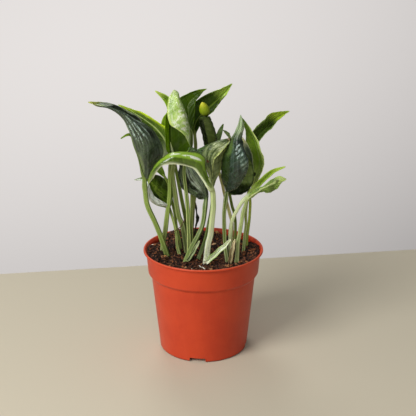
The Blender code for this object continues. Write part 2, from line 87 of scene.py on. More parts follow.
# ---------------------------------------------------------------- pot and mix, mm
RIM_RADIUS = 60.1
POT_HEIGHT = 105.5
WALL = 0.9
LIP_DEPTH = 1.9
LIP_INNER_RADIUS = 58.5
COLLAR_TOP_RADIUS = 57.3
COLLAR_FOOT_RADIUS = 55.7
COLLAR_FOOT_Z = 82.0
BODY_TOP_RADIUS = 52.5
BODY_TOP_Z = 78.6
BASE_RADIUS = 44.7
FLOOR_BOTTOM_Z = 3.6
FLOOR_TOP_Z = 4.6
BOSS_RADIUS = 9.0
NOTCH_COUNT = 4
NOTCH_WIDTH = 16.0
NOTCH_HEIGHT = 4.5
NOTCH_DEPTH = 8.0
NOTCH_ANGLE = -97.4          # the first notch, degrees from +X
DRAIN_CIRCLE = 26.0
DRAIN_RADIUS = 4.0
DRAIN_DEPTH = 4.0
DRAIN_COUNT = 8
POT_SECTORS = 168
SHARP_ANGLE = 40             # degrees

SOIL_LEVEL = 97.0
# Where the mix is heaped: centre x, centre y, rise, spread.
HEAPS = ((-27.5, 49.0, 9.8, 15.0), (5.0, 52.0, 5.0, 16.0), (-53.0, 8.0, 6.4, 11.0), (-52.0, -16.0, 5.2, 11.0),
         (54.0, 12.0, 7.0, 11.0), (54.0, -13.0, 6.6, 11.0), (36.0, 40.0, 2.0, 12.0), (0.0, -56.0, 2.0, 14.0))
SOIL_RINGS = 92
SOIL_SECTORS = 300
# Below its surface the mix follows the pot's wall: height, and how far inside.
SOIL_WALL = ((COLLAR_FOOT_Z + 1.6, 0.8), (BODY_TOP_Z, 0.8), (30.0, 0.8), (6.6, 0.8), (5.2, 2.4))
CRUMBS = 1150
CHIPS = 130
FIBRES = 190
# Single chips that show: x, y, half length, tone (0.8 gold, 1 white).
CHIP_PLACES = (
    (10.9, 25.1, 1.9, 0.84), (14.4, 52.0, 2.2, 0.72), (-28.2, 16.5, 1.9, 0.7), (-37.3, -8.3, 1.5, 0.86),
    (24.2, -31.8, 1.3, 0.8), (6.7, -26.6, 1.2, 0.7), (7.6, -39.3, 1.3, 0.82), (-10.8, -36.8, 1.1, 0.92),
    (-52.0, 16.0, 1.3, 0.95), (40.7, -8.3, 1.5, 0.5), (46.8, -5.6, 1.6, 0.45), (-38.2, -10.9, 1.4, 0.8),
    (-30.0, -20.0, 1.3, 0.55), (-20.0, -32.0, 1.4, 0.6), (36.0, -24.0, 1.3, 0.5),
)
WHITE_ROOT = ((-4.1, -30.5), (-2.2, -34.0), (-0.2, -38.0), (1.8, -41.8))

# ---------------------------------------------------------------- dead bits and the new leaf's tip, mm
STUB_ROUTE = [(-9, 43, 91), (-9, 43, 100), (-8.2, 43, 112), (-6.2, 42, 121), (-7.2, 42, 128), (-7.8, 42, 136)]
SCRAP_Z = 122.0              # where a dry scrap hangs on the stub
TWIG_ROUTE = [(-7.6, 42, 134), (-8.2, 41.4, 138), (-9.4, 41, 142), (-8.6, 41, 147), (-10.4, 41, 152)]
ROOT_ROUTE = [(-17.5, -3, 137), (-20.5, -3, 133), (-22, -3, 129), (-25.5, -3, 126.5), (-29, -2, 123),
              (-33, 2, 119), (-35, 6, 112), (-36, 10, 103)]
BUD_CENTRE = (1.2, 6.0, 245.6)
BUD_HALF_WIDTH = 5.0
BUD_HALF_LENGTH = 8.0
BUD_TILT = (18.0, -17.0)     # degrees about X and Y
BUD_ROWS = 48
BUD_SIDES = 56

# ---------------------------------------------------------------- stalks, mm
# By the name that a stalk shares with its blade: radius at the mix, radius at the blade, and route.
STALKS = {
    "large_left": (2.6, 2.2, [(-36, -4, 97), (-38.7, -5, 108), (-42.5, -6, 121), (-48, -8, 136),
        (-54.7, -9, 154), (-56.6, -10, 169)]),
    "bright_left": (2.7, 1.7, [(-41, 2, 96), (-40.5, 2, 110), (-38, 3, 123), (-36, 4, 139), (-33.7, 5, 159),
        (-32.5, 6, 180)]),
    "cupped": (1.7, 1.15, [(-24, 1, 97), (-26, 2, 107), (-27, 2, 118), (-29, 3, 128), (-32, 7, 139)]),
    "curled_left": (1.4, 1.2, [(-23, 16, 97), (-24, 15, 108), (-27, 15, 121), (-29, 15, 135),
        (-31, 15, 146), (-33, 16, 158), (-35, 16, 168)]),
    "cream": (2.8, 2.1, [(-16.5, 9, 97), (-19, 10, 110), (-21, 10, 126), (-24.7, 10, 137), (-28.3, 8, 158),
        (-30, 6, 180), (-29, 4, 190)]),
    "small_back": (2.0, 1.6, [(-17, 23, 97), (-17, 23, 116), (-18, 23, 129), (-20, 23, 138), (-23, 24, 151),
        (-26, 26, 170), (-29, 28, 187)]),
    "top_left": (2.3, 1.5, [(-14.5, -1, 97), (-14.5, 0, 114), (-14.5, 3, 134), (-15.5, 6, 149),
        (-18, 11, 168), (-19, 15, 186), (-12.5, 19.5, 203)]),
    "top_right": (1.9, 1.5, [(-12, 14, 97), (-12, 17, 118), (-12, 18, 134), (-12, 20, 155), (-11, 24, 180),
        (-8, 27, 200)]),
    "rolled": (1.8, 1.8, [(-13, 32, 98), (-12, 32, 115), (-10, 31, 137), (-8, 29, 155), (-2, 24, 175),
        (3, 20, 190)]),
    "grey": (2.5, 2.0, [(-17, -16, 97), (-12, -16, 110), (-5, -15, 124), (-1, -13, 134), (1, -11, 144),
        (2, -9, 153)]),
    "olive": (1.9, 1.5, [(-5, -9, 97), (-1, -7, 108), (3, -5, 121), (6, -4, 134), (8, -4, 145),
        (9, -5, 158)]),
    "arch": (3.1, 2.2, [(3, -21, 97), (5, -22, 117), (7, -23, 127), (8, -24, 138), (10, -25, 154),
        (10, -26, 164), (9, -27, 175), (4, -28, 186)]),
    "big_dark": (1.9, 1.9, [(24, -15, 97), (22, -13, 110), (20.7, -12, 123), (20.3, -11, 136),
        (20.7, -10, 147), (21.8, -9, 156)]),
    "lime": (2.0, 1.6, [(25.5, -9, 97), (26, -9, 115), (26.5, -9, 125), (27.9, -8, 135), (31.8, -7, 145),
        (37.6, -6, 155)]),
    "crinkled": (2.5, 1.6, [(33, -17, 97), (34, -16, 114), (36, -15, 124), (37.7, -14, 135),
        (39.1, -12, 146)]),
    "narrow": (1.7, 1.2, [(40.5, 4, 97), (42, 6, 116), (43.3, 8, 127), (42.9, 9, 137), (43.3, 10, 149),
        (45, 11, 161)]),
    "right": (1.4, 1.3, [(44.5, 14, 97), (45, 15, 113), (46.3, 16, 129), (47, 17, 145), (47, 18, 154)]),
    "small_light": (1.8, 1.3, [(29, 16, 97), (29, 17, 113), (29, 18, 126), (27, 19, 134), (24, 21, 144),
        (21, 23, 154), (19, 25, 164), (16, 27, 177), (14, 28, 193)]),
    "upper_right": (1.5, 1.3, [(33, 29, 97), (33, 30, 108), (33, 31, 122), (32, 31, 132), (29.5, 32, 140),
        (27, 33, 156), (32, 34, 177), (43, 35, 195)]),
}
STALK_BURIAL = 8.0
STALK_SIDES = 24

# Colours of each stalk: at the mix, half way, at the blade, its pale edge lines, and their strength.
STALK_LOOKS = {
    "large_left": ((96, 112, 54), (124, 146, 64), (84, 104, 50), (160, 178, 104), 0.5),
    "bright_left": ((134, 136, 92), (134, 156, 68), (104, 126, 54), (172, 190, 108), 0.6),
    "cupped": ((120, 130, 80), (130, 150, 66), (120, 146, 56), (176, 190, 116), 0.6),
    "curled_left": ((104, 120, 62), (126, 148, 52), (120, 146, 50), (170, 188, 104), 0.5),
    "cream": ((86, 96, 54), (116, 132, 64), (106, 128, 62), (176, 188, 124), 0.6),
    "small_back": ((96, 110, 48), (124, 146, 54), (112, 138, 46), (160, 180, 96), 0.5),
    "top_left": ((104, 116, 60), (98, 122, 48), (190, 206, 110), (206, 216, 140), 0.7),
    "top_right": ((74, 88, 40), (120, 136, 60), (160, 160, 62), (196, 204, 120), 0.6),
    "rolled": ((100, 112, 60), (156, 164, 88), (124, 138, 60), (176, 186, 110), 0.5),
    "grey": ((120, 140, 76), (86, 104, 46), (84, 104, 50), (160, 176, 110), 0.6),
    "olive": ((116, 130, 90), (106, 128, 58), (104, 126, 56), (150, 168, 104), 0.5),
    "arch": ((228, 232, 206), (178, 194, 130), (130, 150, 72), (196, 208, 150), 0.6),
    "big_dark": ((130, 144, 90), (104, 124, 46), (66, 88, 28), (204, 212, 160), 0.6),
    "lime": ((158, 170, 116), (212, 224, 166), (140, 170, 56), (232, 240, 196), 0.5),
    "crinkled": ((120, 132, 80), (146, 162, 96), (124, 152, 56), (186, 196, 140), 0.7),
    "narrow": ((116, 130, 72), (132, 148, 62), (110, 130, 56), (196, 204, 150), 0.6),
    "right": ((120, 140, 60), (172, 192, 62), (160, 184, 56), (206, 216, 120), 0.4),
    "small_light": ((140, 140, 80), (212, 206, 132), (176, 186, 100), (226, 222, 160), 0.5),
    "upper_right": ((96, 104, 46), (110, 132, 40), (100, 126, 40), (150, 170, 80), 0.4),
}

# ---------------------------------------------------------------- blade nets, mm
# Blades that fold, curl or roll: rows of points from foot to tip, each row from one margin to the other.
# A row of one point is a tip.
NETS = {
    "large_left": [
        [(-57, -9, 180), (-57, -9.5, 180), (-56.5, -12, 181), (-54, -13, 181), (-52, -11.5, 181)],
        [(-57.5, -11, 192.5), (-58, -12, 193), (-59, -15, 193.5), (-52.5, -18, 193), (-44, -14, 195)],
        [(-58.5, -9, 204), (-60, -12, 204), (-61.5, -19, 205.5), (-52.5, -25, 206), (-38, -18, 206)],
        [(-58.5, -5, 214.5), (-62.5, -12, 213.5), (-65, -21, 216), (-52, -28, 217.5), (-38.5, -20, 216.5)],
        [(-58.5, -3, 224), (-64.5, -11, 223), (-67.5, -22, 226), (-55.5, -29.5, 228), (-43, -22, 227)],
        [(-58.5, -3, 232.5), (-67, -11, 231.5), (-70.5, -22, 234), (-61, -29.5, 236), (-49.5, -22, 234.5)],
        [(-60, -5, 239), (-69.5, -12, 239), (-73.5, -22, 241), (-66.5, -28.5, 242.5), (-58.5, -20, 239.5)],
        [(-70, -9, 247), (-75.5, -14, 246.5), (-79.5, -22, 247.5), (-74, -27, 248), (-70, -20.5, 245.5)],
        [(-80.5, -14, 253.5), (-85, -17.5, 252.5), (-88, -23, 252.5),
         (-84.5, -26, 253), (-81.5, -22.5, 251.5)],
        [(-91.5, -20, 257.5), (-95.5, -21.5, 256), (-97.5, -24, 254.5),
         (-95, -26, 255.5), (-92, -24.5, 256)],
        [(-101.5, -23, 258.5), (-102.5, -24.5, 258.5), (-103, -25.5, 258),
         (-102, -26, 257.5), (-101, -26, 257)],
        [(-105.5, -26.5, 259)],
    ],
    "bright_left": [
        [(-39.5, 5.5, 192), (-36.5, 6.5, 193), (-32, 8, 195.5), (-29, 7.5, 197), (-27.5, 6.5, 198.5)],
        [(-46, 8, 195.5), (-42, 11, 199.5), (-34.5, 13, 205.5), (-33, 12, 209.5), (-32, 11, 213)],
        [(-48.5, 11.5, 206), (-44.5, 14.5, 211), (-39.5, 17, 215.5), (-36.5, 15, 220.5), (-34.5, 13, 224)],
        [(-56, 15, 217), (-52, 18, 221), (-47.5, 20.5, 224), (-44.5, 19, 227), (-42, 17, 229)],
        [(-64, 18, 228), (-60, 21, 229.5), (-56.5, 23, 230.5), (-53.5, 22, 232.5), (-51, 20, 234.5)],
        [(-72, 22, 236.5), (-69, 24, 236.5), (-66, 26, 236), (-63.5, 25.5, 237.5), (-61, 24, 239)],
        [(-79, 25, 242), (-77, 27, 241.5), (-74.5, 28, 241.5), (-73, 28, 241.5), (-72, 27, 242)],
        [(-84, 30, 245)],
    ],
    "cream": [
        [(-30, 5, 198.5), (-29.5, 5.5, 198.5), (-28.5, 6.5, 198.5), (-26.5, 6.5, 198.5),
         (-25, 4, 198.5), (-25.5, 1, 199.5), (-26.5, 0, 199.5)],
        [(-35.5, 6, 204.5), (-33.5, 8, 204.5), (-30.5, 10, 203), (-23, 10, 202.5),
         (-15.5, 4, 205), (-13.5, 0, 206.5), (-13.5, -2, 207.5)],
        [(-36.5, 6.5, 215), (-34.5, 9, 215.5), (-31, 11, 215), (-22, 11, 215),
         (-14, 4, 216.5), (-13, -2, 216), (-14.5, -4, 215)],
        [(-37, 6.5, 226), (-34.5, 9.5, 226), (-31.5, 12, 226.5), (-22.5, 12, 226.5),
         (-13.5, 4, 227.5), (-13.5, -3, 225.5), (-18.5, -8, 224)],
        [(-36, 6, 236), (-34, 9, 236.5), (-30, 12, 237.5), (-23, 12, 237.5),
         (-16, 4, 239), (-16, -6, 236), (-25.5, -10, 230)],
        [(-33, 4, 247), (-32, 7, 248), (-29, 10, 248.5), (-23, 10, 248.5),
         (-19, 3, 249), (-20.5, -7, 247.5), (-31.5, -9.5, 234.5)],
        [(-30.5, 2, 255), (-30.5, 4, 256.5), (-29.5, 6.5, 257), (-25, 6.5, 257),
         (-22, 1, 257), (-24, -6, 256), (-34, -7, 246)],
        [(-29, 1, 260.5), (-29, 2, 262), (-28, 3, 263), (-25.5, 3, 263),
         (-23, 0, 262), (-25.5, -3.5, 260.5), (-32.5, -4, 257.5)],
        [(-29, 0.5, 263), (-28.5, 1.5, 264), (-28, 2, 264.5), (-26, 2, 264.5),
         (-24.5, 0.5, 263.5), (-26, -1.5, 263), (-30, -2, 262.5)],
        [(-27.5, 0.5, 265)],
    ],
    "top_left": [
        [(-13, 21, 219), (-12.5, 22, 219), (-11.5, 23, 219), (-10.5, 22, 219.5), (-10, 21, 220)],
        [(-19, 25, 225.5), (-17, 26.5, 225), (-14, 27, 225), (-11.5, 27, 225.5), (-9.5, 27, 226)],
        [(-22.5, 27.5, 236), (-19.5, 29, 236), (-14.5, 29.5, 235.5),
         (-11, 29.5, 235.5), (-8.5, 29.5, 235.5)],
        [(-24.5, 29.5, 245.5), (-21, 31, 244.5), (-15, 31.5, 243.5), (-11, 31.5, 244), (-8, 31.5, 245.5)],
        [(-23, 31.5, 251.5), (-19, 33, 250.5), (-11.5, 33.5, 249.5), (-7.5, 33.5, 249.5), (-5, 33.5, 251)],
        [(-14, 34, 256), (-11.5, 35, 255), (-6, 35, 254), (-3, 35, 254.5), (-1, 35, 255.5)],
        [(-4, 35, 259), (-3, 36, 258), (-1, 36, 257.5), (0, 36, 257.5), (1, 36, 258)],
        [(3.5, 36, 259.5)],
    ],
    "top_right": [
        [(-10, 29, 215), (-9.5, 30, 215), (-8.5, 31, 215), (-7.5, 30, 215.5), (-7, 29, 216)],
        [(-14, 31, 223), (-12.5, 34, 222.5), (-9, 36, 221.5), (-6, 35, 222), (-4, 33, 222.5)],
        [(-15.5, 33, 234), (-11.5, 37, 233), (-4.5, 40, 230), (0, 39, 229), (2.5, 36, 230)],
        [(-11, 36, 244), (-5.5, 40.5, 242), (3.5, 44, 237), (8, 43, 235.5), (10, 40, 236.5)],
        [(-0.5, 40, 251.5), (4, 44, 248.5), (11, 47, 243.5), (15, 46, 242), (15.5, 43, 244)],
        [(10.5, 44, 255.5), (13.5, 47, 253.5), (17.5, 50, 249), (20, 49, 248), (21.5, 47, 250)],
        [(20, 48, 259), (22, 50, 258), (24, 52, 255.5), (25, 51.5, 255), (26, 50.5, 256)],
        [(29, 54, 261.5)],
    ],
    "rolled": [
        [(5, 14, 203.5), (2.5, 15, 203.5), (4, 17.5, 203), (7.5, 17.5, 203),
         (9.5, 15, 203.5), (8.5, 13, 203.5), (4.5, 11.5, 204)],
        [(8.5, 9.5, 212.5), (0.5, 13, 212.5), (2.5, 19, 211.5), (9.5, 19, 212),
         (13.5, 13, 213.5), (12, 8, 214), (4, 6.5, 214)],
        [(6, 6.5, 223), (-1.5, 11, 222.5), (1, 17, 221.5), (7, 17, 222),
         (11.5, 11, 223.5), (9.5, 6, 224), (2, 4.5, 224)],
        [(3.5, 5, 232), (-3.5, 9, 232), (-1, 15, 231), (4.5, 15, 231.5),
         (8.5, 9, 233), (6.5, 4.5, 233), (0, 3, 232.5)],
        [(2.5, 5, 238.5), (-3, 8, 237.5), (-1, 12.5, 237), (3, 12.5, 237),
         (6.5, 8, 238), (4.5, 4.5, 238), (0.5, 3, 238.5)],
    ],
    "olive": [
        [(9.5, -5.5, 167.5), (9, -5, 167), (8, -7, 167.5), (8.5, -8.5, 168.5), (9.5, -8.5, 168.5)],
        [(13.5, -3, 179.5), (10, -2.5, 178), (6.5, -7.5, 180), (7.5, -11, 181.5), (9, -11, 183)],
        [(17.5, -1, 187.5), (10.5, 0, 186.5), (3, -7, 189.5), (5.5, -14, 192), (9.5, -14, 193.5)],
        [(19.5, 0, 196.5), (9.5, 2, 196), (-0.5, -7, 199.5), (3.5, -15, 202.5), (11, -16, 201.5)],
        [(21, -1, 205), (10.5, 2, 205), (-0.5, -7, 207), (5.5, -15, 211), (15.5, -16.5, 206.5)],
        [(23.5, -4, 211), (14, -1, 212), (4, -7, 213), (11, -14.5, 216.5), (19.5, -15, 211)],
        [(24.5, -7, 215.5), (18.5, -5, 216), (12, -8, 217), (17.5, -12, 218.5), (23.5, -11.5, 215.5)],
        [(26.5, -8, 219.5), (25.5, -7.5, 220), (24, -8.5, 220.5), (24.5, -10, 220.5), (26, -10, 219)],
        [(25.5, -8.5, 224), (24, -8, 226), (20.5, -9, 226.5), (22, -10, 224.5), (24, -10, 222.5)],
        [(19, -9, 228.5)],
    ],
    "grey": [
        [(2, -8.5, 159.5), (2.5, -7, 159.5), (3, -6, 159.5), (4.5, -7, 160), (5, -8.5, 161)],
        [(-4.5, -2, 157), (-1.5, -6, 161), (2, -9, 165.5), (3.5, -8, 167.5), (5, -5, 169)],
        [(-10.5, 3, 159.5), (-6.5, -4, 165.5), (-1.5, -10, 172), (2, -9, 175), (3.5, -5, 176.5)],
        [(-16, 18, 159), (-12.5, 6, 167.5), (-6, -9.5, 178.5), (-1, -9, 182.5), (1.5, -5, 184.5)],
        [(-23, 24, 163), (-17, 17, 169.5), (-10, -7, 184), (-5, -7, 189), (-2, -4, 191)],
        [(-26, 26, 174), (-19, 20, 179), (-14, 0, 190), (-9, -5.5, 196.5), (-6, -3, 199)],
        [(-23, 26, 186.5), (-18.5, 20, 190.5), (-15, 0, 199), (-11, -3, 203), (-8, -2, 202)],
        [(-16.5, 12, 201.5), (-15.5, 8, 204.5), (-13, 1, 209), (-10, -4, 208), (-7, -4, 203)],
        [(-6.5, 4, 205), (-6, 2, 206.5), (-5, -2, 208), (-4, -7, 207), (-1.5, -7, 203)],
        [(2, 1, 210), (2, -1, 211), (3, -4, 212), (4, -7.5, 211.5), (5, -7.5, 209.5)],
        [(10, -5, 216)],
    ],
    "arch": [
        [(9, -27.5, 175.5), (9.5, -28.5, 175.5), (9, -29.5, 175.5), (8.5, -30, 175.5),
         (7.5, -29.5, 175), (7.5, -28.5, 175), (8.5, -27.5, 175)],
        [(6.5, -24.5, 181), (8, -27, 181.5), (7.5, -30.5, 181), (6, -32, 180.5),
         (4, -31.5, 179.5), (4.5, -28.5, 179.5), (5.5, -25.5, 180)],
        [(4, -23.5, 186), (5, -27, 187.5), (4.5, -30.5, 186.5), (3, -32.5, 185.5),
         (1, -31.5, 184.5), (2, -28.5, 185), (3, -25.5, 185.5)],
        [(0.5, -23, 196), (2, -27, 197.5), (1, -32, 196), (-1.5, -34, 193),
         (-3.5, -32.5, 191.5), (-2, -29, 192.5), (-0.5, -25.5, 193.5)],
        [(-0.5, -22.5, 204), (1, -27, 206.5), (-1, -33, 204), (-5.5, -35.5, 199.5),
         (-8.5, -33.5, 198), (-7, -30, 198.5), (-4, -26.5, 200.5)],
        [(-8, -24, 208.5), (-6.5, -29, 211.5), (-9, -36, 209), (-14.5, -38, 203.5),
         (-16.5, -36, 201.5), (-15, -32.5, 202), (-12, -28.5, 203.5)],
        [(-19.5, -25, 210), (-18.5, -31, 213.5), (-19.5, -38, 211.5), (-23, -40, 206),
         (-24.5, -38, 203.5), (-23, -34, 204), (-22, -30, 205)],
        [(-28.5, -26, 209), (-29, -32, 212.5), (-28.5, -38.5, 211), (-31, -40.5, 206.5),
         (-32, -38.5, 203.5), (-31, -35, 204.5), (-30, -31, 205)],
        [(-37.5, -27, 204.5), (-38, -32, 207.5), (-37, -38, 206.5), (-38, -39.5, 203.5),
         (-38.5, -38, 201.5), (-38, -34.5, 201.5), (-37.5, -31, 202)],
        [(-45, -28, 196.5), (-46, -32, 199), (-44.5, -37, 199), (-43.5, -38, 197.5),
         (-43.5, -36.5, 195.5), (-43.5, -34, 196), (-44, -31, 196)],
        [(-49.5, -31, 188), (-50.5, -33, 189.5), (-49.5, -36, 189.5), (-48, -36.5, 189),
         (-47.5, -35.5, 188), (-48, -34, 188), (-48.5, -32.5, 188)],
        [(-51.5, -35, 182.5)],
    ],
    "cupped": [
        [(-33, 8, 146.5), (-33.5, 7.5, 145.5), (-34, 9, 145), (-33.5, 11, 145), (-32.5, 11, 145.5)],
        [(-37.5, 1, 152.5), (-38.5, 0, 150.5), (-37.5, 5, 148), (-33.5, 13, 152.5), (-30, 14, 158.5)],
        [(-42.5, -2, 156.5), (-45, -3.5, 154), (-46.5, 3, 151), (-38.5, 13, 161), (-31.5, 16, 168)],
        [(-48, -4, 161.5), (-51, -5.5, 159.5), (-53, 1.5, 157), (-44.5, 12, 167.5), (-37.5, 16, 172)],
        [(-51.5, -4, 169), (-53.5, -5.5, 167), (-55.5, 0.5, 165), (-49.5, 10, 173.5), (-44.5, 13, 177.5)],
        [(-54, -1, 174), (-55, -2.5, 172.5), (-56, 1, 171.5), (-53.5, 7, 176.5), (-51.5, 9, 178.5)],
        [(-59, 3, 176), (-60, 2, 175), (-60.5, 3.5, 174.5), (-59.5, 6, 176.5), (-58.5, 7, 177.5)],
        [(-63, 4, 176.5), (-63.5, 3, 175.5), (-63.5, 4, 175), (-63.5, 6, 176), (-63, 6, 177)],
        [(-68, 6, 174.5)],
    ],
    "big_dark": [
        [(26, -4.5, 163.5), (25, -4, 163), (23.5, -5, 164.5), (23, -8, 166.5),
         (23.5, -11, 168), (25, -11.5, 168.5), (26.5, -10.5, 168)],
        [(39.5, 0, 162.5), (31.5, 3, 161.5), (21.5, -1, 169), (23.5, -9, 171.5),
         (26.5, -14, 172.5), (30.5, -15, 173), (33.5, -11, 172.5)],
        [(48, 1.5, 170.5), (34.5, 6, 170.5), (18.5, -2, 178.5), (24.5, -13, 181.5),
         (29.5, -19, 182.5), (36, -19, 182.5), (39.5, -13, 182)],
        [(49.5, 2, 182), (34.5, 7.5, 181.5), (17.5, -2, 188.5), (25, -15, 192.5),
         (31, -22.5, 194), (38.5, -20, 193), (43, -13, 192)],
        [(47, 2, 194), (34, 6, 194), (19, -3, 199), (25.5, -15, 203),
         (32, -22.5, 204.5), (39, -21, 204.5), (42.5, -14, 202)],
        [(40.5, 0, 206.5), (34, 4, 204.5), (22.5, -4, 209), (27, -14, 213),
         (31.5, -20, 215.5), (36, -19, 215), (38.5, -15, 213.5)],
        [(37.5, -4, 217.5), (33.5, -2, 216.5), (27, -6, 219), (29.5, -13, 222.5),
         (32.5, -16.5, 223.5), (35, -15.5, 223.5), (36.5, -13, 222.5)],
        [(38, -7, 228.5), (36, -6, 228.5), (32, -8, 230), (34, -13, 232),
         (36, -15, 233), (38, -14, 232.5), (39, -12, 231.5)],
        [(35.5, -12, 244)],
    ],
    "right": [
        [(48.5, 17.5, 162), (49, 18.5, 162), (50, 19.5, 162), (50.5, 18.5, 162.5), (51, 17.5, 163)],
        [(46.5, 15, 171), (48.5, 19, 169.5), (52, 22, 168.5), (54, 21, 169), (55, 18, 170.5)],
        [(45.5, 15, 181), (49, 20, 180), (55.5, 25, 178.5), (58, 24, 178.5), (59, 20, 179.5)],
        [(45, 15, 192.5), (49.5, 21, 191), (56.5, 27, 189), (59, 25.5, 189.5), (60.5, 21, 190)],
        [(43.5, 16, 203.5), (48, 22, 201.5), (54, 28, 199.5), (56, 27, 199.5), (57.5, 23, 200.5)],
        [(42, 19, 213), (45.5, 24, 211), (51, 29, 209), (53, 28, 209.5), (54, 25, 210)],
        [(41.5, 23, 221.5), (43.5, 26.5, 220), (46.5, 29, 219), (47.5, 28.5, 219), (48.5, 27, 219.5)],
        [(39, 29, 231.5)],
    ],
    "upper_right": [
        [(50, 34, 205.5), (51, 35.5, 204.5), (52.5, 36, 203.5), (54, 35.5, 203), (54.5, 34.5, 203)],
        [(49, 34, 216), (51.5, 37.5, 213.5), (55, 40, 210), (57, 38, 209), (58, 35, 209)],
        [(53.5, 36, 221.5), (56.5, 40.5, 218.5), (60.5, 44, 215), (63, 42, 214), (64, 38.5, 214.5)],
        [(60, 39, 227), (63, 44, 223.5), (66.5, 48, 220), (69, 46, 219), (70, 43, 219.5)],
        [(67, 44, 232.5), (69.5, 49, 229), (73, 52, 226), (75.5, 51, 224.5), (76.5, 49, 225)],
        [(77, 52, 233.5), (78, 54, 231.5), (80, 55.5, 229.5), (81.5, 55, 229), (82, 54, 229)],
        [(88, 58, 232.5)],
    ],
    "crinkled": [
        [(41, -11.5, 158.5), (41.5, -12, 159), (42.5, -12.5, 160), (43.5, -12, 160), (44, -11.5, 160)],
        [(46, -14, 167), (46.5, -15.5, 167), (48.5, -16.5, 166.5), (50, -15.5, 166), (51, -14.5, 165.5)],
        [(53, -15.5, 172.5), (54, -17, 172.5), (55, -18, 172), (56.5, -17, 170.5), (58, -15.5, 169)],
        [(59.5, -17, 176.5), (60.5, -18.5, 176.5), (62, -19.5, 176.5), (64.5, -18, 172.5), (66, -16, 169)],
        [(65.5, -18, 182), (66.5, -19.5, 181), (68, -20.5, 180), (69.5, -19, 176.5), (71, -17.5, 173.5)],
        [(72, -20, 186), (72.5, -21, 185), (73, -21.5, 184), (74, -20.5, 181), (75, -19.5, 179)],
        [(79.5, -21, 183.5)],
    ],
}

